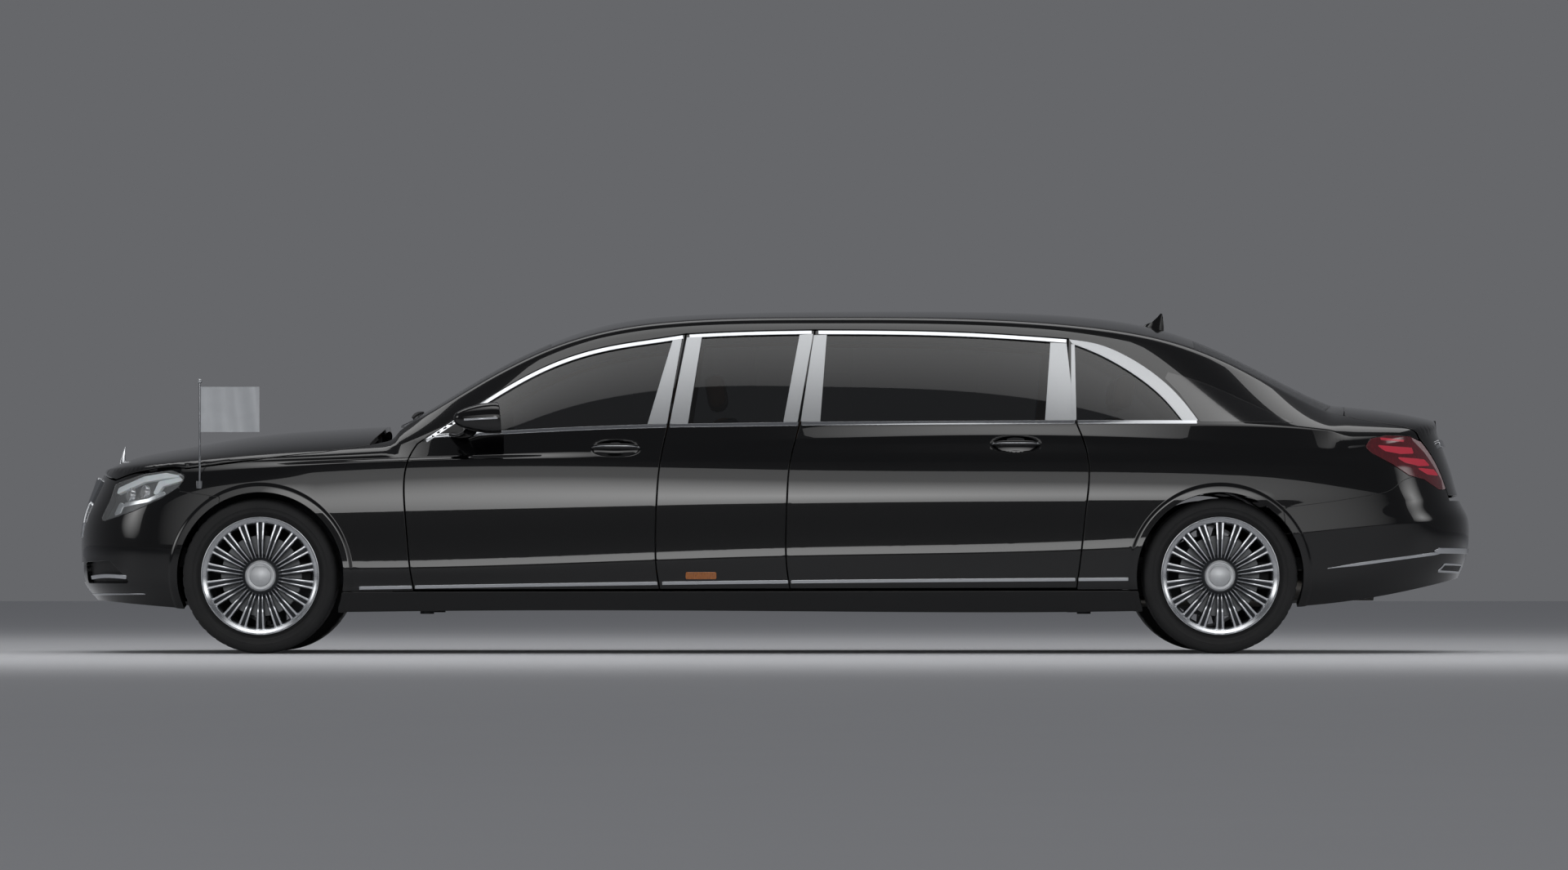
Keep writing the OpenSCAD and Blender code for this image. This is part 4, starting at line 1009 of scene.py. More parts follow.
# Bonnet edge as (u, v), from the middle of the nose back to the screen
BONNET_EDGE = np.concatenate(
    [
        smooth([(0, 0.772), (0.15, 0.772), (0.30, 0.770), *flank(front([(-689, 800)]))]),
        flank(smooth(front([(-680, 803), (-600, 829), (-538, 842), (-470, 852), (-413, 857)]))),
        flank(smooth(front([(-345, 850), (-220, 865), (-81, 883), (108, 910), (345, 936), (500, 962)]))),
    ]
)
BONNET_BACK = smooth(
    [skin.at(BONNET_EDGE[-1:])[0][0, :2], *on_plan(front([(540, 560), (556, 300), (560, 0)]))], 12 * MM
)
BONNET_PLAN = joined(skin.at(BONNET_EDGE)[0][:, :2], BONNET_BACK)
BONNET_PLAN[np.abs(BONNET_PLAN[:, 1]) < 0.5 * MM, 1] = 0
BONNET_AREA = np.concatenate([BONNET_EDGE, skin.locate(BONNET_BACK, "plan"), [(0, Skin.TOP)]])

# Plan outlines of the screens, roof, boot lid, rear deck and cowl
SCREEN_FOOT = smooth(on_plan(front([(607, 0), (622, 300), (660, 520), (730, 690)])), 12 * MM)
SCREEN_HEAD = smooth(on_plan(front([(1318, 0), (1322, 300), (1330, 568)])), 12 * MM)
BACK_HEAD = smooth(on_plan(rear([(-90, 0), (-94, 300), (-98, 538)])), 12 * MM)
BACK_FOOT = smooth(on_plan(rear([(556, 0), (535, 400), (505, 580)])), 12 * MM)
SCREEN_SIDE = straight([SCREEN_FOOT[-1], SCREEN_HEAD[-1]])
BACK_SIDE = smooth([BACK_HEAD[-1], *on_plan(rear([(300, 556)])), BACK_FOOT[-1]])
ROOF_SIDE = smooth([SCREEN_HEAD[-1], *on_plan(front([(1800, 556)]) + rear([(-900, 550)])), BACK_HEAD[-1]])
WINDSCREEN = joined(SCREEN_FOOT, SCREEN_SIDE, SCREEN_HEAD[::-1])
ROOF = joined(SCREEN_HEAD, ROOF_SIDE, BACK_HEAD[::-1])
REAR_WINDOW = joined(BACK_HEAD, BACK_SIDE, BACK_FOOT[::-1])
LID_FRONT = smooth(on_plan(rear([(612, 0), (604, 400), (590, 600)])), 12 * MM)
LID_SIDE = smooth(on_plan(rear([(640, 645), (900, 640), (1000, 592), (1060, 566)])))
LID_FOOT_V = 0.505
lid_low = np.stack([np.linspace(skin.length - 0.9, skin.length, 400), np.full(400, LID_FOOT_V)], axis=1)
lid_low = lid_low[np.abs(skin.at(lid_low)[0][:, 1]) <= 566 * MM]
LID_BACK = skin.at(lid_low)[0][:, :2]
LID_BACK[-1, 1] = 0
LID = joined(LID_FRONT, LID_SIDE, LID_BACK)
REAR_DECK = joined(BACK_FOOT, straight([BACK_FOOT[-1], LID_FRONT[-1]]), LID_FRONT[::-1])
COWL = joined(BONNET_BACK[::-1], straight([BONNET_BACK[0], SCREEN_FOOT[-1]]), SCREEN_FOOT[::-1])


def halved(line, by=0.0, flip=(1, -1)):
    """Half outline from a line that starts and ends on the middle plane, moved outwards by that much."""
    p = np.asarray(line, float)
    whole = np.concatenate([p, (p[1:-1] * np.array(flip))[::-1]])
    p = grown(whole, by)[: len(p)]
    p[[0, -1], 0 if flip[0] < 0 else 1] = 0
    return p


def half_plan(line, by=0.0):
    """Half plan outline with its closing side along the middle plane."""
    p = halved(line, by)
    return joined(p, straight([p[-1], p[0]]))


def plan_area(line, by, *corners):
    """Half plan outline as a (u, v) region, closed through these corners."""
    return np.concatenate([skin.locate(halved(line, by), "plan"), np.reshape(corners, (-1, 2))])


def half_nose(points, by=0.0, view="nose"):
    """Half outline in the front or rear view, from the middle and back to it, as (u, v)."""
    uv = skin.locate(straight(points), view)
    middle = 0 if view == "nose" else skin.length
    uv[[0, -1], 0] = middle
    uv[:, 0] -= middle
    p = halved(uv, by, (-1, 1))
    p[:, 0] += middle
    return joined(p, straight([p[-1], p[0]]))


GRILLE = [(0, 0.540), (-0.372, 0.540), (-0.400, 0.600), (-0.398, 0.700), (-0.360, 0.812), (0, 0.812)]
MIDDLE_INTAKE = [(0, 0.330), (-0.380, 0.330), (-0.400, 0.420), (0, 0.420)]
CORNER_INTAKE = flank(rounded(front([(-828, 322), (-838, 424), (-712, 430), (-650, 372), (-606, 322)]),
                              14 * MM))
END = (skin.length, Skin.TOP)
LID_AREA = plan_area(LID, HALF_SHUT, (skin.length, LID_FOOT_V), END)


def u_of(x):
    """u of the flank at that station."""
    return flank([(x, 0.69)])[0, 0]


LIP_RISE, LIP_FADE = 5 * MM, (26 * MM, 44 * MM)


def flared(points, normals):
    """Presses a lip round the wheel arches, which fades out away from them."""
    points, normals = points.copy(), normals.copy()
    for axle in (FRONT_AXLE, REAR_AXLE):
        dx, dz = points[:, 0] - axle, points[:, 2] - AXLE_Z
        away = np.hypot(dx, dz)
        near = (away < ARCH_R + 60 * MM) & (np.abs(points[:, 1]) > 0.7)
        d = away - ARCH_R
        fade = step_up(d, *LIP_FADE)
        rise = LIP_RISE * (1 - fade)
        slope = LIP_RISE * (step_up(d + 1e-4, *LIP_FADE) - fade) / 1e-4
        radial = np.stack([dx, np.zeros_like(dx), dz], axis=1) / np.maximum(away, 1e-6)[:, None]
        tilted = normals + radial * slope[:, None]
        tilted /= np.linalg.norm(tilted, axis=1)[:, None]
        points[near] += (normals * rise[:, None])[near]
        normals[near] = tilted[near]
    return points, normals


def with_lips(grid):
    """Grid points with close rings round the wheel arches in place of the even ones."""
    where = skin.at(grid)[0]
    rows = []
    for axle in (FRONT_AXLE, REAR_AXLE):
        grid_away = np.hypot(where[:, 0] - axle, where[:, 2] - AXLE_Z)
        keep = grid_away > ARCH_R + 54 * MM
        grid, where = grid[keep], where[keep]
        turn = np.radians(np.arange(-20, 200.5, 1.5))
        for d in (6, 14, 22, 27, 31, 35, 39, 44, 50):
            r = ARCH_R + d * MM
            rows.append(np.stack([axle + r * np.cos(turn), AXLE_Z + r * np.sin(turn)], axis=1))
    return np.concatenate([grid, flank(np.concatenate(rows))])


# Painted panels and glass

ARCH_FRONT, ARCH_REAR = arch(FRONT_AXLE), arch(REAR_AXLE)
SILL_TOP = straight([(FRONT_AXLE + 0.34, 0.287), (REAR_AXLE - 0.34, 0.294)])
SILL = np.concatenate([flank(SILL_TOP), [(u_of(REAR_AXLE - 0.34), -0.1), (u_of(FRONT_AXLE + 0.34), -0.1)]])
BUMPER_LINE = straight(front([(-188, 719), (-373, 746), (-400, 834)]))
BUMPER_FRONT = np.concatenate(
    [flank(BUMPER_LINE), [(0, 0.80), (0, -0.05), (u_of(FRONT_AXLE - 0.188), -0.05)]]
)
REAR_LINE = smooth(rear([(292, 671), (556, 705), (718, 732), (794, 754), (858, 800), (957, 815)]))
BUMPER_REAR = np.concatenate(
    [flank(REAR_LINE), [(skin.length, 0.66), (skin.length, -0.05), (u_of(REAR_AXLE + 0.292), -0.05)]]
)
SILL_GAP = 6 * MM
A_FOOT = flank(straight(front([(722, 967), (690, 1000), (625, 1050)])))


def clipped(area):
    """A region's outline with what hangs below the sill pulled up to it."""
    p = np.array(area, float)
    p[:, 1] = np.maximum(p[:, 1], 0)
    return joined(straight([*p, p[0]], 12 * MM))


HANDLES = {"front": (FRONT_AXLE + 1.636, 0.946), "rear": (REAR_AXLE - 0.940, 0.965)}
BOWL_LENGTH, BOWL_HEIGHT, BOWL_DEPTH = 240 * MM, 83 * MM, 22 * MM


def oval(x, z, length, height):
    """A long round-ended outline."""
    turn = np.linspace(0, 2 * math.pi, 72, endpoint=False)
    c, s = np.cos(turn), np.sin(turn)
    return np.stack(
        [x + length / 2 * np.sign(c) * np.abs(c) ** 0.7, z + height / 2 * np.sign(s) * np.abs(s) ** 0.9],
        axis=1
    )


def dish(centre, length, height, deep):
    """A shape that presses an oval bowl into the skin."""

    def press(points, normals):
        a = (points[:, 0] - centre[0]) / (length / 2)
        b = (points[:, 2] - centre[1]) / (height / 2)
        r = np.clip(a**2 + b**2, 0, 1)
        fall = deep * (1 - r) ** 1.5
        pull = -3 * deep * np.sqrt(1 - r)
        tilt = np.stack([pull * a / (length / 2), np.zeros_like(a), pull * b / (height / 2)], axis=1)
        tilted = normals + tilt
        return points - normals * fall[:, None], tilted / np.linalg.norm(tilted, axis=1)[:, None]

    return press


def doors():
    """Four doors, each with its handle bowl and glass."""
    for end, edge, window in (("front", DOOR_FRONT, WINDOW_FRONT), ("rear", DOOR_REAR, WINDOW_REAR)):
        x, z = HANDLES[end]
        bowl = flank(oval(x, z, BOWL_LENGTH, BOWL_HEIGHT))
        shell = panel(
            grown(edge, -HALF_SHUT), [grown(flank(window), EDGE), bowl], back=TAN, depth=58 * MM, lips=True
        )
        press = dish((x, z), BOWL_LENGTH + 6 * MM, BOWL_HEIGHT + 5 * MM, BOWL_DEPTH)
        scoop = panel(grown(bowl, 1 * MM), depth=3 * MM, edge=0.3 * MM, step=7 * MM, shape=press)
        pane = panel(grown(flank(window), 5 * MM), made=TINT, lift=-7 * MM, depth=4 * MM, edge=0.5 * MM,
                     step=40 * MM)
        for side, name in SIDES:
            body = f"{end}_door_{name}"
            door, glass = Build().put(shell, side).put(scoop, side), Build().put(pane, side)
            door.piece(f"{end}_door_shell_{name}", body, "black_paint", [body])
            glass.piece(f"{end}_door_pane_{name}", body, "tinted_glass", [f"{end}_glass_{name}"])


def fixed_panels():
    """Wings, bumpers, sills, sides, roof and lids."""
    bumper = panel(
        clipped(BUMPER_FRONT),
        [
            grown(BONNET_AREA, HALF_SHUT),
            grown(HEADLAMP, HALF_SEAM),
            half_nose(GRILLE, HALF_SEAM),
            half_nose(MIDDLE_INTAKE),
            CORNER_INTAKE,
            ARCH_FRONT,
        ],
        depth=30 * MM,
        middle=True,
        lips=True,
    )
    Build().put(bumper).piece("front_bumper_cover", "body", "black_paint", ["front_bumper"])
    wing = panel(
        np.concatenate([[(u_of(FRONT_AXLE - 0.41), 0)], [(u_of(FRONT_AXLE + 0.70), 0)], flank(FRONT_EDGE),
                        A_FOOT, [(A_FOOT[-1, 0], 1.3), (u_of(FRONT_AXLE - 0.41), 1.3)]]),
        [
            grown(BONNET_AREA, HALF_SHUT),
            grown(BUMPER_FRONT, HALF_SEAM),
            grown(HEADLAMP, HALF_SEAM),
            grown(DOOR_FRONT, HALF_SHUT),
            grown(SILL, HALF_SEAM),
            plan_area(COWL, HALF_SEAM),
            plan_area(WINDSCREEN, HALF_SEAM),
            ARCH_FRONT,
        ],
        depth=30 * MM,
        lips=True,
    )
    Build().put(wing).piece("wings", "body", "black_paint", ["fenders"])
    lid = panel(half_plan(BONNET_PLAN, -HALF_SHUT), plan=True, depth=22 * MM, back=CHASSIS, middle=True)
    Build().put(lid).piece("bonnet_skin", "bonnet", "black_paint", ["bonnet"])
    floor = panel(half_plan(COWL, -HALF_SEAM), made=PLASTIC, plan=True, lift=-4 * MM, depth=16 * MM,
                  middle=True)
    # The cowl dips under the bonnet's rear edge, so that the open bonnet clears it
    stations = [FRONT_AXLE + 0.40, FRONT_AXLE + 0.60, FRONT_AXLE + 0.70]
    floor[0][:, 2] -= np.interp(floor[0][:, 0], stations, [110 * MM, 68 * MM, 25 * MM])
    Build().put(floor).piece("cowl_grid", "body", "dark_trim", ["cowl"])
    sill = panel(grown(clipped(SILL), -SILL_GAP), [ARCH_FRONT, ARCH_REAR], depth=18 * MM, lips=True)
    Build().put(sill).piece("sill_covers", "body", "black_paint", ["sills"])
    middle = panel(
        grown(MIDDLE, -HALF_SHUT), [grown(flank(WINDOW_MIDDLE), EDGE)], depth=40 * MM, back=TAN
    )
    Build().put(middle).piece("middle_panels", "body", "black_paint", ["mid_panels"])
    side = panel(
        np.concatenate([[(u_of(FRONT_AXLE + 0.70), 0), (skin.length, 0), (skin.length, 1.98)],
                        [(A_FOOT[-1, 0], 1.98)], A_FOOT[::-1], flank(FRONT_EDGE[::-1])]),
        [
            grown(DOOR_FRONT, HALF_SHUT),
            grown(MIDDLE, HALF_SHUT),
            grown(DOOR_REAR, HALF_SHUT),
            [(u_of(FRONT_AXLE + 0.6), -0.1), (u_of(REAR_AXLE - 0.655), -0.1),
             *flank([(REAR_AXLE - 0.655, 0.32), (FRONT_AXLE + 0.66, 0.32)])],
            grown(SILL, HALF_SEAM),
            grown(BUMPER_REAR, HALF_SEAM),
            grown(TAIL_LAMP, HALF_SEAM),
            grown(flank(WINDOW_QUARTER), EDGE),
            plan_area(COWL, HALF_SEAM),
            plan_area(WINDSCREEN, HALF_SEAM),
            plan_area(ROOF, HALF_SEAM),
            plan_area(REAR_WINDOW, HALF_SEAM),
            plan_area(REAR_DECK, HALF_SEAM),
            LID_AREA,
            ARCH_REAR,
        ],
        depth=34 * MM,
        lips=True,
    )
    Build().put(side).piece("side_frames", "body", "black_paint", ["body_sides"])
    roof = panel(half_plan(ROOF, -HALF_SEAM), plan=True, depth=24 * MM, back=LINING, middle=True,
                 step=30 * MM)
    Build().put(roof).piece("roof_skin", "body", "black_paint", ["roof"])
    deck = panel(half_plan(REAR_DECK, -HALF_SEAM), plan=True, depth=20 * MM, middle=True)
    Build().put(deck).piece("rear_deck_skin", "body", "black_paint", ["rear_deck"])
    steps = np.arange(REAR_AXLE + 1.0, TAIL, 6 * MM)
    boot = panel(half_plan(LID, -HALF_SHUT), plan=True, depth=22 * MM, back=CHASSIS, middle=True,
                 columns=steps)
    Build().put(boot).piece("boot_lid_skin", "boot_lid", "black_paint", ["boot_lid"])
    tail = panel(
        clipped(BUMPER_REAR),
        [LID_AREA, grown(TAIL_LAMP, HALF_SEAM), ARCH_REAR],
        depth=30 * MM,
        middle=True,
        lips=True,
    )
    Build().put(tail).piece("rear_bumper_cover", "body", "black_paint", ["rear_bumper"])


def fixed_glass():
    """Screens and the panes that don't open."""
    for name, line, node in (("windscreen_pane", WINDSCREEN, "windscreen"),
                             ("rear_pane", REAR_WINDOW, "rear_window")):
        pane = panel(half_plan(line, -HALF_SEAM), made=SCREEN, plan=True, lift=-1 * MM, depth=5 * MM,
                     middle=True, step=40 * MM)
        Build().put(pane).piece(name, "body", "tinted_glass", [node])
    panes = Build()
    for window in (WINDOW_MIDDLE, WINDOW_QUARTER):
        panes.put(panel(grown(flank(window), 5 * MM), made=TINT, lift=-7 * MM, depth=4 * MM, edge=0.5 * MM,
                        step=40 * MM))
    panes.piece("side_panes", "body", "tinted_glass", ["fixed_glass"])


doors()
fixed_panels()
fixed_glass()


# Bright window trim, pillar covers and strips

def overlay(side_outline, made, lift=1.5 * MM, depth=7 * MM, edge=1.2 * MM, step=30 * MM):
    """A thin cover on the skin, from a side-view outline."""
    outer = flank(ring(side_outline, 20 * MM))
    return panel(outer, made=made, lift=lift, depth=depth, edge=edge, step=step)


def band(line, half):
    """Side-view outline of a narrow strip along a line."""
    return strip_along(np.asarray(line), -half, half)


SILL_STRIP = smooth([*front([(457, 302)]), (-0.520, 0.324), *rear([(-395, 343)])])
FRONT_X, B_X, C_X, REAR_X = (line[0][0] for line in (FRONT_EDGE, B_LINE, C_LINE, REAR_EDGE))


def window_trim():
    """Bright strips round the side windows, satin pillar covers, sill strips, black rear-quarter fill."""
    gap = 5 * MM
    front_belt = smooth(front([(800, 1003), (930, 1009), (1350, 1031), (1783, 1047), (1868, 1049)]))
    rear_belt = straight(rear([(-1926, 1059), (-1839, 1060), (-803, 1066), (-668, 1067)]))
    pieces = {
        "front": [
            (strip_along(between(ROOF_FRONT, FRONT_AXLE + 0.752, FRONT_AXLE + 1.946), 4 * MM, 19 * MM),
             CHROME),
            (band(front_belt, 7 * MM), CHROME),
            (outline(front([(745, 975), (762, 1000), (928, 1094), (928, 1014), (800, 1000)])), PLASTIC),
            (outline(front([(1783, 1058), (1896, 1449), (1938, 1455)]), front([(1871, 1060)])), SATIN),
        ],
        "rear": [
            (strip_along(between(ROOF_REAR, REAR_AXLE - 1.854, REAR_AXLE - 0.698), 4 * MM, 19 * MM), CHROME),
            (band(rear_belt, 7 * MM), CHROME),
            (outline(rear([(-1929, 1070), (-1868, 1472), (-1809, 1474), (-1841, 1070)])), SATIN),
            (outline(rear([(-803, 1076), (-772, 1437), (-698, 1434), (-667, 1076)])), SATIN),
        ],
        "body": [
            (strip_along(between(ROOF_MID, FRONT_AXLE + 1.966, REAR_AXLE - 1.872), 4 * MM, 18 * MM), CHROME),
            (band(straight([*front([(1885, 1050)]), *rear([(-1944, 1058)])]), 7 * MM), CHROME),
            (outline(front([(1885, 1060), (1962, 1462), (2030, 1464), (1967, 1060)])), SATIN),
            (outline(rear([(-2009, 1068), (-1934, 1474), (-1872, 1478), (-1945, 1068)])), SATIN),
            (band(straight(rear([(-652, 1067), (-104, 1067)])), 7 * MM), CHROME),
            (
                outline(
                    QUARTER_ARC,
                    rear([(-100, 1074)]),
                    smooth(rear([(-100, 1076), (-192, 1196), (-296, 1292), (-428, 1378), (-560, 1432),
                                 (-684, 1452)])),
                ),
                SATIN,
            ),
            (outline(rear([(-684, 1076), (-676, 1430), (-660, 1430), (-660, 1076)])), SATIN),
        ],
    }
    strips = {
        "front": (FRONT_X + gap, B_X - gap),
        "rear": (C_X + gap, REAR_X - gap),
    }
    fill = smooth(rear([(339, 1066), (121, 1166), (-66, 1248), (-230, 1300)]))
    fill = outline(rear([(-88, 1068)]), fill, rear([(-246, 1270), (-180, 1200)]))
    for end in ("front", "rear"):
        meshes = [overlay(line, made) for line, made in pieces[end]]
        meshes.append(overlay(band(between(SILL_STRIP, *strips[end]), 6.5 * MM), CHROME))
        for side, name in SIDES:
            trim = Build()
            for mesh in meshes:
                trim.put(mesh, side)
            trim.piece(f"{end}_door_trim_{name}", f"{end}_door_{name}", "chrome")
    trim = Build()
    for line, made in pieces["body"]:
        trim.put(overlay(line, made))
    for low, high in (
        (FRONT_AXLE + 0.440, FRONT_X - gap),
        (B_X + gap, C_X - gap),
        (REAR_X + gap, REAR_AXLE - 0.395),
    ):
        trim.put(overlay(band(between(SILL_STRIP, low, high), 6.5 * MM), CHROME))
    trim.piece("side_trim", "body", "chrome")
    Build().put(overlay(fill, PIANO, 1 * MM)).piece("quarter_fill", "body", "black_paint")


# Swept and turned forms

def tube_faces(rings, count):
    """Faces of a tube of rings with count points each, closed at both ends."""
    faces = []
    for i in range(rings - 1):
        for k in range(count):
            m = (k + 1) % count
            faces.append((i * count + k, i * count + m, (i + 1) * count + m, (i + 1) * count + k))
    return faces + [tuple(range(count))[::-1], tuple(range((rings - 1) * count, rings * count))]


def lathe_faces(segments, n, strips):
    """Faces of a turned form: strips of them in each segment, between n profile points."""
    faces = []
    for k in range(segments):
        m = (k + 1) % segments
        for i in range(strips):
            j = (i + 1) % n
            faces.append((k * n + i, k * n + j, m * n + j, m * n + i))
    return faces


def sweep(path, across, up, section, made):
    """A bar along a path, from one section of (across, up) pairs or from one for each station. The across
    and up directions are also one for all or one for each."""
    path = np.asarray(path, float)
    across, up = (np.broadcast_to(np.asarray(v, float), path.shape) for v in (across, up))
    section = np.asarray(section, float)
    if section.ndim == 2:
        section = np.repeat(section[None], len(path), axis=0)
    points = path[:, None] + across[:, None] * section[:, :, :1] + up[:, None] * section[:, :, 1:]
    faces = tube_faces(len(path), section.shape[1])
    return points.reshape(-1, 3), faces, [made] * len(faces), None


def moved(mesh, by):
    """A mesh in another place."""
    points, *rest = mesh
    return points + by, *rest


def round_section(a, b, count, power=1.0):
    """An oval section; power below 1 makes it boxier."""
    turn = np.linspace(0, 2 * math.pi, count, endpoint=False)
    c, s = np.cos(turn), np.sin(turn)
    return np.stack([a * np.sign(c) * np.abs(c) ** power, b * np.sign(s) * np.abs(s) ** power], axis=1)


def turned(profile, made, centre, axis=(0, -1, 0), segments=96, closed=False):
    """A turned form: profile pairs are (radius, distance along the axis), made is one material or one for
    each strip between them."""
    axis = Vector(axis).normalized()
    first = axis.orthogonal().normalized()
    second = axis.cross(first)
    profile = np.asarray(profile, float)
    points = []
    for k in range(segments):
        turn = 2 * math.pi * k / segments
        out = np.array(first) * math.cos(turn) + np.array(second) * math.sin(turn)
        points += [np.array(centre) + out * r + np.array(axis) * w for r, w in profile]
    n = len(profile)
    strips = n if closed else n - 1
    mades = made if isinstance(made, list) else [made] * strips
    return np.array(points), lathe_faces(segments, n, strips), mades * segments, None


def handles():
    """A gripping bar in each door's bowl."""
    t = np.linspace(-1, 1, 33)
    for end, (x, z) in HANDLES.items():
        line = np.stack([x + 0.112 * t, np.full_like(t, z)], axis=1)
        place, normal = skin.place(line)
        out = 19 * MM * (1 - t**6) + 2 * MM
        slim = 0.45 + 0.55 * (1 - t**4)
        widths = np.stack([12.5 * MM * slim, 7 * MM * slim], axis=1)
        section = round_section(1, 1, 16, 0.8)[None] * widths[:, None]
        up = (0, 0, 1)
        bar = sweep(place + normal * out[:, None], up, normal, section, LACQUER)
        thin = section * np.array([0.16, 0.4])
        inlay = sweep(place + normal * (out + 5.2 * MM * slim)[:, None], up, normal, thin, CHROME)
        for side, name in SIDES:
            body, node = f"{end}_door_{name}", f"{end}_fittings_{name}"
            grip = Build().put(bar, side).put(inlay, side)
            grip.piece(f"{end}_door_handle_{name}", body, "black_paint", [node])


def mirrors():
    """A tapered mirror shell with its glass, foot and bright strip on each front door."""
    ts = np.array([0, 0.015, 0.05, 0.12, 0.22, 0.36, 0.52, 0.68, 0.84, 0.95, 1.0, 1.0, 0.965])
    scale = np.array([0.02, 0.22, 0.36, 0.49, 0.62, 0.76, 0.88, 0.96, 1.0, 0.99, 0.95, 0.92, 0.90])
    low = np.array([FRONT_AXLE + 0.893, -HALF_W - 0.058, 1.078])
    n, points = 40, []
    for t, k in zip(ts, scale):
        centre = low + np.array([0.214 * t, 0.012 * (1 - t), 0.006 * t])
        ring_points = round_section(0.066 * k, 0.072 * k, n, 0.93)
        lean = ring_points[:, 1] * -0.10
        points += [centre + np.array([b, a, h]) for (a, h), b in zip(ring_points, lean)]
    mades = [LACQUER] * (n * (len(ts) - 3)) + [PLASTIC] * (n * 2) + [LACQUER, REFLECTOR]
    shell = (np.array(points), tube_faces(len(ts), n), mades, None)
    t = np.linspace(0, 1, 12)
    foot_at = skin.place(front([(905, 1008)]))[0][0]
    path = foot_at + (low + np.array([0.075, 0.028, -0.058]) - foot_at) * t[:, None]
    path[:, 2] -= 0.010 * np.sin(math.pi * t)
    widths = np.stack([0.040 - 0.010 * t, 0.013 + 0.004 * t], axis=1)
    section = round_section(1, 1, 20, 0.8)[None] * widths[:, None]
    foot = sweep(path, (1, 0, 0), (0, 0.35, 0.94), section, LACQUER)
    t = np.linspace(0, 1, 14)
    bow = -0.060 - 0.008 * np.sin(math.pi * t)
    path = low + np.stack([0.05 + 0.155 * t, bow, -0.004 + 0.008 * t], axis=1)
    strip = sweep(path, (0, 0, 1), (0, -1, 0), round_section(5 * MM, 5 * MM, 10, 0.8), CHROME)
    for side, name in SIDES:
        made = Build().put(shell, side).put(foot, side).put(strip, side)
        made.piece(f"mirror_{name}", f"front_door_{name}", "black_paint")


# Wheels and tyres

PAIRS_OF_SPOKES = 18


def spoke_meshes():
    """Twin spokes of one wheel round the y axis, each pair with a dark web between."""
    r = np.linspace(0.084, 0.257, 13)
    share = (r - r[0]) / (r[-1] - r[0])
    face = np.interp(r, [0.084, 0.100, 0.150, 0.200, 0.257], [0.066, 0.078, 0.104, 0.103, 0.096])
    shift = 7.5 * MM + 7.0 * MM * share
    half = 3.6 * MM + 3.6 * MM * share
    up = np.array([0, -1.0, 0])
    rows = []
    for k in range(PAIRS_OF_SPOKES):
        turn = 2 * math.pi * k / PAIRS_OF_SPOKES + math.pi / 2
        out = np.array([math.cos(turn), 0, math.sin(turn)])
        side = np.array([-math.sin(turn), 0, math.cos(turn)])
        for way in (-1, 1):
            path = out * r[:, None] + side * (way * shift)[:, None] + up * face[:, None]
            section = [
                [(-h - 2.5 * MM, -24 * MM), (-h, -4 * MM), (-h * 0.55, -0.6 * MM), (0, 0),
                 (h * 0.55, -0.6 * MM), (h, -4 * MM), (h + 2.5 * MM, -24 * MM)]
                for h in half
            ]
            rows.append(sweep(path, side, up, section, ALLOY))
        path = out * r[:, None] + up * (face - 13 * MM)[:, None]
        flat = [[(-s, -6 * MM), (-s, 0), (s, 0), (s, -6 * MM)] for s in shift]
        rows.append(sweep(path, side, up, flat, GRAPHITE))
    return rows


def tyre_mesh():
    """Tyre with moulded side rings, four tread grooves and cross cuts."""
    wall = [
        (0.259, 0.094), (0.266, 0.103), (0.2735, 0.108), (0.2765, 0.1125), (0.280, 0.1135),
        (0.283, 0.1115), (0.292, 0.1165), (0.2945, 0.1185), (0.297, 0.1178), (0.312, 0.1213),
        (0.3135, 0.1226), (0.316, 0.1222), (0.328, 0.1222), (0.3375, 0.1196), (0.345, 0.1155),
        (0.3505, 0.1105), (0.3545, 0.104), (0.3565, 0.097),
    ]
    tread = [
        (0.3572, 0.080), (0.3574, 0.068), (0.3510, 0.067), (0.3510, 0.058), (0.3577, 0.057),
        (0.3580, 0.040), (0.3580, 0.028), (0.3515, 0.027), (0.3515, 0.018), (0.3580, 0.017),
        (0.3580, 0.0),
    ]
    half = wall + tread
    profile = np.array(half + [(r, -w) for r, w in half[-2::-1]])
    segments = 240
    turn = np.arange(segments) * 2 * math.pi / segments
    points = []
    for k, a in enumerate(turn):
        r = profile[:, 0].copy()
        if k % 6 == 0:
            cut = (np.abs(profile[:, 1]) > 0.030) & (np.abs(profile[:, 1]) < 0.108) & (r > 0.349)
            r[cut] -= 3.2 * MM
        points.append(np.stack([r * math.cos(a), -profile[:, 1], r * math.sin(a)], axis=1))
    faces = lathe_faces(segments, len(profile), len(profile))
    return np.concatenate(points), faces, [TYRE] * len(faces), None


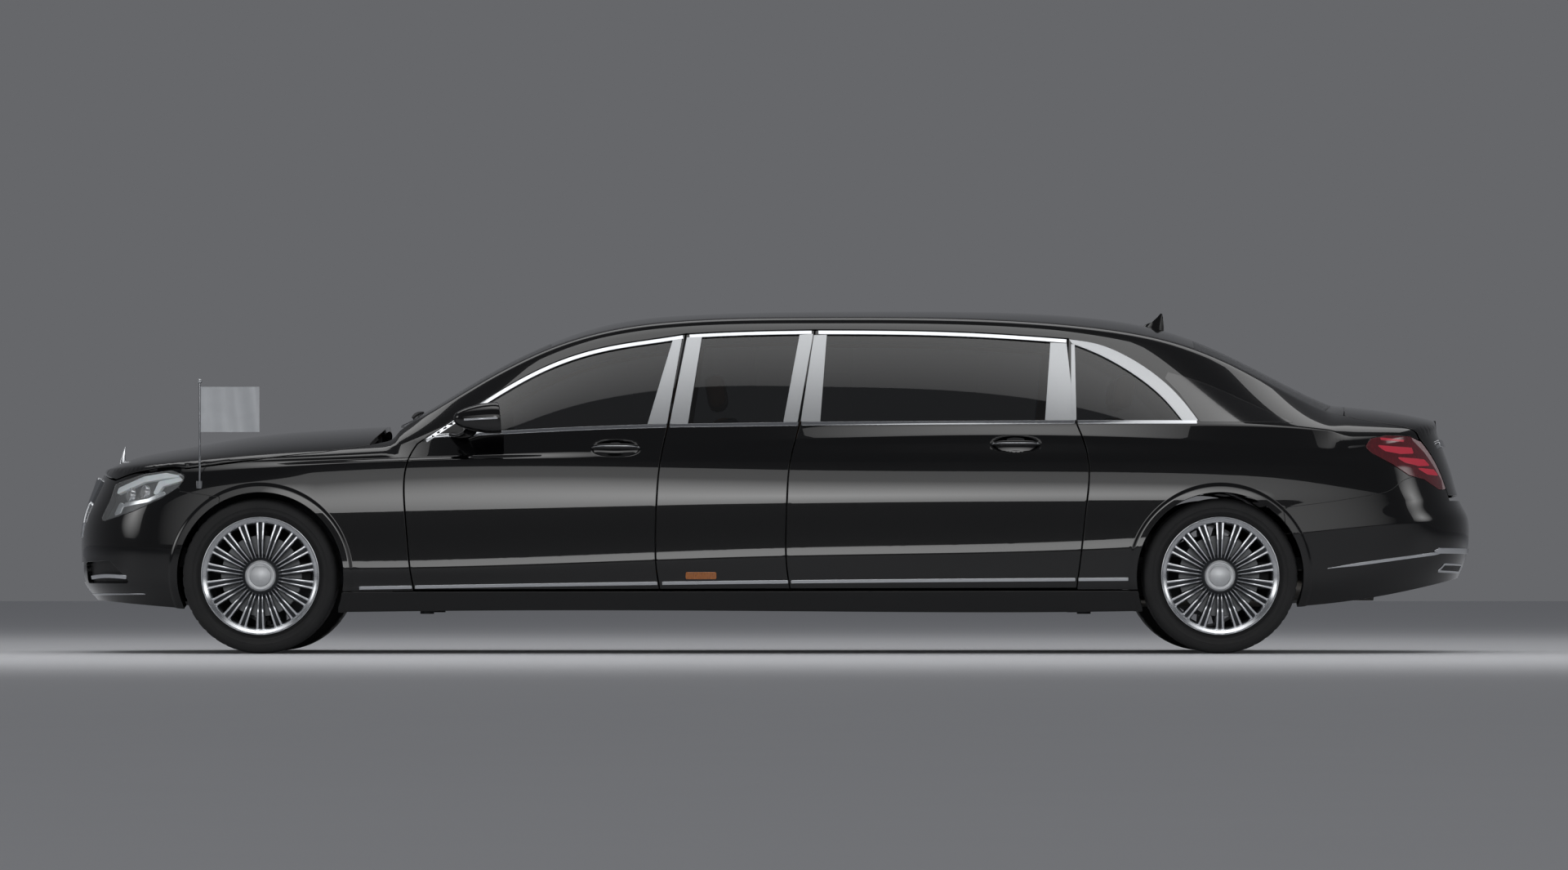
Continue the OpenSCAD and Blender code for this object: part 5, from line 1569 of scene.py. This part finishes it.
def wheels():
    """Four wheels with twin spokes, plain centre caps and brake discs, and their tyres."""
    barrel = [
        (0.246, -0.110), (0.270, -0.116), (0.272, -0.108), (0.2585, -0.098), (0.2585, 0.094),
        (0.2695, 0.103), (0.2730, 0.110), (0.2735, 0.1155), (0.2715, 0.1190), (0.2690, 0.1195),
        (0.2670, 0.1170), (0.2640, 0.1130), (0.2560, 0.1080), (0.2400, 0.0920), (0.2370, 0.0840),
        (0.2350, 0.0),
    ]
    made = [GRAPHITE] * 4 + [ALLOY] * 10 + [GRAPHITE] * 2
    origin = (0, 0, 0)
    meshes = [turned(barrel, made, origin, closed=True, segments=120)]
    cap = [
        (0.0, 0.0915), (0.046, 0.0912), (0.0495, 0.0895), (0.0505, 0.0880), (0.0545, 0.0880),
        (0.0580, 0.0895), (0.0640, 0.0890), (0.0700, 0.0850), (0.0735, 0.0760), (0.0745, 0.0640),
        (0.090, 0.060), (0.100, 0.056), (0.100, 0.030), (0.0, 0.028),
    ]
    meshes.append(turned(cap, [SATIN] * 9 + [GRAPHITE] * 4, origin, segments=72))
    disc = [(0.080, 0.004), (0.186, 0.004), (0.188, 0.002), (0.188, -0.022), (0.186, -0.024), (0.080, -0.024)]
    meshes.append(turned(disc, IRON, origin, closed=True, segments=72))
    meshes += spoke_meshes()
    tyre = tyre_mesh()
    for end, x in (("front", FRONT_AXLE), ("rear", REAR_AXLE)):
        for side, name in SIDES:
            body = f"wheel_{end}_{name}"
            place = np.array([x, -WHEEL_Y, AXLE_Z])
            wheel = Build()
            for mesh in meshes:
                wheel.put(moved(mesh, place), side)
            wheel.piece(f"{end}_wheel_{name}", body, "wheel_alloy", [body])
            rubber = Build().put(moved(tyre, place), side)
            rubber.piece(f"{end}_tyre_{name}", body, "tyre_rubber", [f"tyre_{end}_{name}"])


# Lamps

def lamps():
    """Headlamps, tail lamps and side markers with what shows behind their covers."""
    head = Build()
    head.put(panel(grown(HEADLAMP, -HALF_SEAM), made=CLEAR, depth=4 * MM, edge=1.5 * MM))
    head.piece("headlamp_covers", "body", "clear_lens", ["headlamps"])
    inner = Build()
    inner.put(panel(grown(HEADLAMP, -2 * MM), made=GRAPHITE, lift=-30 * MM, depth=8 * MM, edge=1 * MM))
    bars = [
        (front([(-690, 742), (-682, 768), (-554, 822), (-447, 838), (-368, 822), (-440, 816), (-552, 798)]),
         LIGHT_BAR),
        (front([(-505, 740), (-480, 796), (-378, 815), (-366, 803), (-462, 776), (-486, 738)]), LIGHT_BAR),
        (front([(-655, 682), (-645, 698), (-532, 716), (-457, 748), (-446, 738), (-528, 702)]), REFLECTOR),
        (front([(-700, 640), (-672, 700), (-650, 690), (-668, 650)]), REFLECTOR),
    ]
    for points, made in bars:
        shape = flank(rounded(points, 8 * MM))
        inner.put(panel(shape, made=made, lift=-12 * MM, depth=17 * MM, edge=3 * MM, step=24 * MM))
    for x, z, r in ((-632, 738, 0.028), (-560, 752, 0.027)):
        place, normal = (v[0] for v in skin.place(front([(x, z)])))
        aim = np.array([-1.0, 0, 0]) * 0.55 + normal * 0.45
        profile = [(0, 0.016), (r * 0.5, 0.013), (r * 0.8, 0.007), (r, 0.0), (r * 1.12, 0.002),
                   (r * 1.2, -0.004), (r * 1.2, -0.022)]
        inner.put(turned(profile, [CLEAR] * 3 + [CHROME] * 3, place - normal * 0.020, aim, 40))
    inner.piece("headlamp_insides", "body", "clear_lens", smooth_angle=40)
    red = Build()
    clear_edge = straight(rear([(893, 1012), (905, 985), (962, 928), (1010, 860), (1044, 800), (1052, 740)]))
    clear_part = flank(outline(clear_edge, rear([(1200, 740), (1200, 1012)])))
    red_part = flank(outline(clear_edge[::-1], rear([(640, 1020), (640, 740)])))
    tail = grown(TAIL_LAMP, -HALF_SEAM)
    red.put(panel(tail, [LID_AREA, clear_part], made=RED, depth=14 * MM, edge=1.2 * MM))
    red.put(panel(tail, [LID_AREA, red_part], made=ROSE, depth=14 * MM, edge=1.2 * MM))
    for points in (
        [(746, 996), (862, 986), (860, 978), (750, 986)],
        [(728, 962), (800, 956), (898, 950), (906, 924), (840, 922), (770, 934)],
        [(822, 906), (917, 900), (958, 896), (986, 868), (930, 866), (862, 882)],
        [(918, 858), (1004, 850), (1020, 834), (1026, 822), (972, 828)],
    ):
        red.put(panel(flank(rounded(rear(points), 5 * MM)), made=RED_BAR, lift=1 * MM, depth=3 * MM,
                      edge=1 * MM))
    red.piece("tail_lamp_covers", "body", "red_lens", ["tail_lamps"])
    marker = rounded(front([(1960, 345), (1960, 374), (2098, 374), (2098, 345)]), 6 * MM)
    Build().put(overlay(marker, AMBER, 4 * MM, 5 * MM, 2 * MM)).piece(
        "side_marker_lenses", "body", "amber_lens", ["side_markers"]
    )


# Nose and tail trim

def nose_strip(z_low, z_high, wide, view="nose"):
    """Half outline of a level strip across the nose or tail, as (u, v)."""
    return half_nose([(0, z_low), (-wide, z_low), (-wide, z_high), (0, z_high)], 0, view)


def raked(mesh):
    """Brings the upper part of a nose piece forward, so that the grille stands proud under the bonnet."""
    points, faces, mades, normals = mesh
    points = points.copy()
    points[:, 0] -= np.interp(points[:, 2], [0.56, 0.82], [0, 22 * MM])
    return points, faces, mades, normals


def nose_trim():
    """Grille with its surround and bars, intakes with blades, lip and bonnet ornament."""
    made = Build()
    ring_out, ring_in = half_nose(GRILLE, -HALF_SEAM), half_nose(GRILLE, -30 * MM)
    made.put(raked(panel(ring_out, [ring_in], CHROME, lift=5 * MM, depth=46 * MM, edge=7 * MM, middle=True)))
    made.put(raked(panel(half_nose(GRILLE, -14 * MM), made=PLASTIC, lift=-34 * MM, depth=4 * MM,
                         middle=True)))
    for z in (0.595, 0.650, 0.705, 0.760):
        wide = 0.358 if z < 0.72 else 0.345
        bar = panel(nose_strip(z - 9 * MM, z + 9 * MM, wide), made=CHROME, lift=-6 * MM, depth=24 * MM,
                    edge=3 * MM, middle=True)
        made.put(raked(bar))
    post = half_nose([(0, 0.575), (-9 * MM, 0.575), (-9 * MM, 0.780), (0, 0.780)])
    made.put(raked(panel(post, made=CHROME, lift=-3 * MM, depth=22 * MM, edge=2 * MM, middle=True)))
    made.piece("grille_surround", "body", "chrome", ["grille"])
    dark = Build()
    dark.put(panel(half_nose(MIDDLE_INTAKE, 6 * MM), made=PLASTIC, lift=-24 * MM, depth=4 * MM, middle=True))
    dark.put(panel(grown(CORNER_INTAKE, 6 * MM), made=PLASTIC, lift=-24 * MM, depth=4 * MM))
    for z in (0.352, 0.376, 0.400):
        dark.put(panel(nose_strip(z - 3 * MM, z + 3 * MM, 0.372), made=PIANO, lift=-10 * MM, depth=12 * MM,
                       edge=1 * MM, middle=True))
    dark.piece("bumper_intakes", "body", "dark_trim")
    bright = Build()
    blade = smooth(front([(-806, 350), (-760, 356), (-700, 357), (-630, 352)]))
    bright.put(overlay(band(blade, 7 * MM), CHROME, 2 * MM, 22 * MM, 3 * MM))
    lip_u = np.linspace(0, u_of(FRONT_AXLE - 0.545), 120)
    lip_v = np.interp(lip_u, [0, lip_u[-1] * 0.5, lip_u[-1]], [0.030, 0.034, 0.070])
    lip = np.stack([lip_u, lip_v], axis=1)
    tall = np.interp(lip_u, [0, lip_u[-1] * 0.55, lip_u[-1]], [0.011, 0.013, 0.003])
    upper = lip + np.stack([np.zeros_like(tall), tall], axis=1)
    bright.put(panel(joined(lip, upper[::-1]), made=CHROME, lift=1.5 * MM, depth=8 * MM, edge=1.5 * MM,
                     middle=True))
    bright.piece("bumper_brightwork", "body", "chrome")
    foot = skin.place([(FRONT_AXLE - 0.700, -0.0005)], "plan")[0][0]
    t = np.linspace(0, 1, 24)
    path = np.array([foot[0], 0, foot[2] - 2 * MM]) + np.stack([0.012 * t**2, 0 * t, 0.082 * t], axis=1)
    width = 7 * MM * (1 - t) ** 2 + 1.2 * MM
    chord = 15 * MM * (1 - t) ** 1.4 + 2.4 * MM
    section = round_section(1, 1, 18)[None] * np.stack([chord, width], axis=1)[:, None]
    fin = Build().put(sweep(path, (1, 0, 0), (0, 1, 0), section, CHROME), -1)
    fin.piece("bonnet_ornament", "bonnet", "chrome", smooth_angle=50)


def tail_trim():
    """Bright strips on the lid and bumper, and the exhaust trims."""
    grip = panel(nose_strip(0.958, 0.984, 0.455, "tail"), made=CHROME, lift=14 * MM, depth=20 * MM,
                 edge=4 * MM, middle=True)
    Build().put(grip).piece("boot_lid_grip", "boot_lid", "chrome")
    bright = Build()
    line = smooth(rear([(495, 392), (700, 420), (900, 447), (1050, 466)]))
    share = np.linspace(0, 1, len(line))
    tall = 6 * MM * np.clip(np.minimum(share / 0.25, (1 - share) / 0.08), 0.12, 1)
    rise = np.stack([0 * tall, tall], axis=1)
    bright.put(overlay(outline(line - rise, (line + rise)[::-1]), CHROME, edge=1.0 * MM, step=14 * MM))
    bar = half_nose([(0, 0.462), (-0.70, 0.464), (-0.72, 0.474), (-0.70, 0.486), (0, 0.484)], 0, "tail")
    bright.put(panel(bar, made=CHROME, lift=5 * MM, depth=12 * MM, edge=3 * MM, middle=True))
    frame_points = rounded([(-0.66, 0.376), (-0.40, 0.370), (-0.42, 0.412), (-0.64, 0.416)], 12 * MM)
    opening = skin.locate(frame_points, "tail")
    bright.put(panel(opening, [grown(opening, -9 * MM)], made=CHROME, lift=3 * MM, depth=14 * MM,
                     edge=2 * MM))
    bright.put(panel(grown(opening, -8 * MM), made=PLASTIC, lift=0.8 * MM, depth=3 * MM, edge=0.5 * MM))
    bright.piece("rear_brightwork", "body", "chrome")


window_trim()
handles()
mirrors()
wheels()
lamps()
nose_trim()
tail_trim()


# Cabin

SEAT_FOOT, CARPET_TOP, CARPET_EDGE = 228.3 * MM, 234 * MM, 228.5 * MM
RAKE = -(math.pi / 2 - 0.22)


def pad(centre, half, r, made, crown=0.0, channels=(), tilt=0.0, pull=0.0, cells=17):
    """A stuffed rounded block: its top is crowned and may have sewn channels along x or y, its sides pull in
    between the corners, and tilt leans it about the y axis."""
    half = np.asarray(half, float)
    line = np.linspace(-1, 1, cells + 1)
    a, b = np.meshgrid(line, line, indexing="ij")
    points, faces = [], []
    for axis in range(3):
        for way in (-1, 1):
            q = np.zeros((cells + 1, cells + 1, 3))
            q[..., axis] = way
            q[..., (axis + 1) % 3] = a * way
            q[..., (axis + 2) % 3] = b
            start = len(points) * (cells + 1) ** 2
            points.append(q.reshape(-1, 3))
            for i in range(cells):
                for j in range(cells):
                    k = start + i * (cells + 1) + j
                    faces.append((k, k + cells + 1, k + cells + 2, k + 1))
    q = np.concatenate(points)
    box = q * half
    core = np.clip(box, -(half - r), half - r)
    away = box - core
    length = np.linalg.norm(away, axis=1)
    p = core + away * (r / np.maximum(length, 1e-9))[:, None]
    u, v, w = p[:, 0] / half[0], p[:, 1] / half[1], p[:, 2] / half[2]
    p[:, 2] += crown * np.clip(1 - u**2, 0, 1) * np.clip(1 - v**2, 0, 1) * (w > 0)
    p[:, 0] -= pull * np.sign(u) * np.clip(1 - v**2, 0, 1) * np.abs(u) ** 6
    p[:, 1] -= pull * np.sign(v) * np.clip(1 - u**2, 0, 1) * np.abs(v) ** 6
    for axis, place in channels:
        p[:, 2] -= 9 * MM * np.exp(-(((p[:, axis] - place) / (7 * MM)) ** 2)) * np.clip(w, 0, 1)
    c, s = math.cos(tilt), math.sin(tilt)
    x, z = p[:, 0] * c + p[:, 2] * s, -p[:, 0] * s + p[:, 2] * c
    p = np.stack([x, p[:, 1], z], axis=1) + np.asarray(centre)
    return p, faces, [made] * len(faces), None


def seat(name, node, x, face):
    """A pair of chairs: cushion, back, side rolls and head rest on a plinth, facing forwards or backwards."""
    for number, y in enumerate((-0.400, 0.400)):
        made = Build()
        across = [(1, -0.13), (1, 0), (1, 0.13), (0, 0.05)]
        ribs = [(0, -0.14), (0, 0), (0, 0.14)]
        parts = [
            pad((0.250, 0, 0.268), (0.245, 0.180, 0.062), 0.045, TAN, 0.018, across, -0.07, 0.008),
            pad((0.585, 0, 0.600), (0.270, 0.170, 0.052), 0.042, TAN, 0.016, ribs, RAKE, 0.008),
            pad((0.668, 0, 0.985), (0.080, 0.130, 0.042), 0.036, TAN, 0.010, [], -(math.pi / 2 - 0.16),
                0.006),
            pad((0.290, 0, 0.105), (0.250, 0.215, 0.100), 0.030, BROWN),
        ]
        for way in (-1, 1):
            parts += [
                pad((0.250, way * 0.212, 0.285), (0.240, 0.044, 0.068), 0.036, BROWN, 0.006, [], -0.07,
                    0.004),
                pad((0.570, way * 0.205, 0.600), (0.260, 0.044, 0.066), 0.036, BROWN, 0.006, [], RAKE),
            ]
        for points, faces, mades, _ in parts:
            points = points * np.array([face, 1, 1])
            made.put((points + np.array([x, y, SEAT_FOOT]), faces, mades, None), -1)
        chair = made.piece(f"{name}_{number + 1}", "body", "tan_leather", [node], smooth_angle=60)
        weld = bmesh.new()
        weld.from_mesh(chair.data)
        bmesh.ops.remove_doubles(weld, verts=weld.verts, dist=1e-5)
        bmesh.ops.recalc_face_normals(weld, faces=weld.faces)
        weld.to_mesh(chair.data)
        weld.free()


def pillar_linings():
    """Dark mouldings inside the door posts, behind the gaps."""
    made = Build()
    for line in (B_LINE, C_LINE, REAR_EDGE):
        post = line[(line[:, 1] > 0.36) & (line[:, 1] < 1.03)]
        made.put(panel(flank(band(post, 42 * MM)), made=PLASTIC, lift=-84 * MM, depth=6 * MM, step=40 * MM))
    made.piece("pillar_linings", "body", "dark_trim")


def carpet():
    """Pile carpet over the cabin floor between the bulkheads."""
    low, high = FRONT_AXLE + 0.640, REAR_AXLE - 0.480
    xs = np.linspace(low, high, 90)
    ys = np.linspace(-0.735, 0.735, 40)
    x, y = np.meshgrid(xs, ys, indexing="ij")
    z = CARPET_TOP + 1.2 * MM * np.sin(x * 41) * np.sin(y * 37)
    border = (np.abs(y) > 0.734) | (x < low + 1 * MM) | (x > high - 1 * MM)
    z[border] = CARPET_EDGE
    points = np.stack([x, y, z], axis=-1).reshape(-1, 3)
    n = len(ys)
    faces = [
        (i * n + j, (i + 1) * n + j, (i + 1) * n + j + 1, i * n + j + 1)
        for i in range(len(xs) - 1) for j in range(n - 1)
    ]
    Build().put((points, faces, [CARPET] * len(faces), None), -1).piece("cabin_carpet", "body", "dark_trim")


def flag():
    """Plain satin flag with soft waves that die out at the staff; along the cloth it keeps its cut length."""
    low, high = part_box("flag")
    length, height = high.x - low.x, high.z - low.z
    count, rows = 80, 40
    s = np.linspace(0, length, count)
    points = []
    for row in range(rows + 1):
        down = row / rows
        swing = 7 * MM * (s / length) ** 0.8
        wave = swing * np.sin(2 * math.pi * s / 0.150 + 1.1 * down)
        flat = np.concatenate([[0], np.cumsum(np.sqrt(np.maximum(np.diff(s) ** 2 - np.diff(wave) ** 2, 0)))])
        y = (low.y + high.y) / 2 + wave
        points += [(low.x + a, b, low.z + height * down) for a, b in zip(flat, y)]
    faces = [
        (i * count + j, i * count + j + 1, (i + 1) * count + j + 1, (i + 1) * count + j)
        for i in range(rows) for j in range(count - 1)
    ]
    cloth = Build().put((np.array(points), faces, [SATIN_CLOTH] * len(faces), None), -1)
    cloth = cloth.piece("flag_cloth_sheet", "body", "flag_cloth", ["flag"])


def wipers():
    """Two wipers at the foot of the windscreen."""
    made = Build()
    for y0, y1 in ((-0.55, -0.02), (0.08, 0.58)):
        t = np.linspace(0, 1, 26)
        xs = FRONT_AXLE + 0.690 + 0.030 * t
        ys = y0 + (y1 - y0) * t
        place, normal = skin.place(np.stack([xs, -np.abs(ys)], axis=1), "plan")
        flip = np.where(ys > 0, -1, 1)
        place[:, 1] *= flip
        normal[:, 1] *= flip
        lift = 11 * MM + 3 * MM * np.sin(math.pi * t)
        along = (1, 0, 0)
        slim = 0.35 + 0.65 * np.sin(math.pi * np.clip(t, 0.06, 0.94))
        section = round_section(1, 1, 10)[None] * np.stack([9 * MM * slim, 5 * MM * slim], axis=1)[:, None]
        made.put(sweep(place + normal * lift[:, None], along, normal, section, PLASTIC), -1)
        blade = [(-1.5 * MM, 0), (1.5 * MM, 0), (1.0 * MM, -11 * MM), (-1.0 * MM, -11 * MM)]
        made.put(sweep(place + normal * (lift - 1 * MM)[:, None], along, normal, blade, SEAL), -1)
    made.piece("wipers", "body", "dark_trim", smooth_angle=50)


def aerial():
    """Low roof fin on a slim base, swept up at its end."""
    low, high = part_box("aerial")
    t = np.linspace(0, 1, 30)
    x = low.x + (high.x - low.x) * t
    foot = skin.place(np.stack([x, np.full_like(x, -0.001)], axis=1), "plan")[0][:, 2]
    climb = np.interp(t, [0, 0.2, 0.5, 0.72, 0.86, 0.95, 1.0], [0.06, 0.42, 0.55, 0.80, 1.0, 0.97, 0.35])
    top = low.z + climb * (high.z - low.z)
    half = 15 * MM * np.sqrt(np.clip(1 - (2 * t - 0.9) ** 2 / 1.25, 0.02, 1))
    section = []
    for zt, zf, h in zip(top, foot, half):
        rise = max(zt - zf, 2 * MM)
        section.append([(-h, 0), (-h * 0.75, rise * 0.3), (-h * 0.32, rise * 0.75), (0, rise),
                        (h * 0.32, rise * 0.75), (h * 0.75, rise * 0.3), (h, 0)])
    path = np.stack([x, np.zeros_like(x), foot + 0.5 * MM], axis=1)
    fin = Build().put(sweep(path, (0, 1, 0), (0, 0, 1), section, LACQUER), -1)
    fin.piece("roof_fin", "body", "black_paint", ["aerial"], 60)


def shown_nodes():
    """Finishes of the frame's own pieces that stay in view."""
    finishes = {
        CHASSIS: ["underbody", "crash_beams", "front_arms", "rear_axle", "knuckle_left", "knuckle_right",
                  "door_hinges", "lid_hinges"],
        STEEL: ["exhaust"],
        GRAPHITE: ["engine"],
        PLASTIC: ["arch_liners"],
        BROWN: ["dashboard", "steering_wheel", "partition"],
        CHROME: ["flag_staff"],
    }
    for made, names in finishes.items():
        for name in names:
            node = frame["nodes"][name]
            node.data.materials.clear()
            node.data.materials.append(made)


seat("front_chair", "front_seats", FRONT_AXLE + 1.230, 1)
seat("rear_chair", "rear_seats", REAR_AXLE - 1.090, 1)
seat("facing_chair", "facing_seats", FRONT_AXLE + 2.760, -1)
pillar_linings()
carpet()
flag()
wipers()
aerial()
shown_nodes()


# Studio

def studio():
    """A pale floor, a grey world, soft lamps and the camera."""
    scene = bpy.context.scene
    scene.view_settings.view_transform = "Standard"
    world = bpy.data.worlds.new("studio_air")
    world.use_nodes = True
    world.node_tree.nodes["Background"].inputs["Color"].default_value = linear("#66676a")
    scene.world = world
    mesh = bpy.data.meshes.new("studio_floor")
    mesh.from_pydata([(-60, -60, 0), (60, -60, 0), (60, 60, 0), (-60, 60, 0)], [], [(0, 1, 2, 3)])
    floor = bpy.data.objects.new("studio_floor", mesh)
    # Rolled floor paint: pale grey, almost matt
    paint = finish("pale_floor_paint", "#dcdde0", dict(size=500, detail=3, rough=(0.55, 0.7)))
    mesh.materials.append(paint)
    scene.collection.objects.link(floor)
    for name, place, aim, size, power, spread in (
        ("overhead_softbox", (0, -3.4, 8.0), (0, -3.4, 0), (16.0, 3.6), 110, 80),
        ("far_overhead_softbox", (0, 3.4, 8.0), (0, 3.4, 0), (16.0, 3.6), 270, 180),
        ("camera_side_wall", (0, -45.0, 8.9), (0, 0, 4.2), (60.0, 13.0), 75, 16),
        ("camera_side_fill", (0, -45.2, 8.9), (0, 0, 0.8), (130.0, 13.0), 2100, 100),
        ("front_softbox", (-18.0, -4.0, 5.0), (-3.0, 0, 0.8), (7.0, 7.0), 11, 26),
        ("rear_softbox", (18.0, -4.0, 5.0), (3.0, 0, 0.8), (7.0, 7.0), 11, 26),
    ):
        lamp = bpy.data.lights.new(name, "AREA")
        lamp.shape = "RECTANGLE"
        lamp.size, lamp.size_y = size
        lamp.energy = power
        lamp.spread = math.radians(spread)
        rig = bpy.data.objects.new(name, lamp)
        rig.location = place
        rig.rotation_euler = (Vector(aim) - Vector(place)).to_track_quat("-Z", "Y").to_euler()
        scene.collection.objects.link(rig)
    lens = bpy.data.cameras.new("photo_camera")
    lens.lens, lens.sensor_width = 199.6, 36.0
    lens.shift_x, lens.shift_y = 0.006, 0.084
    lens.clip_end = 200.0
    camera = bpy.data.objects.new("photo_camera", lens)
    camera.location = (0, -40.93, 0.40)
    camera.rotation_euler = (math.pi / 2, 0, 0)
    scene.collection.objects.link(camera)
    scene.camera = camera


studio()
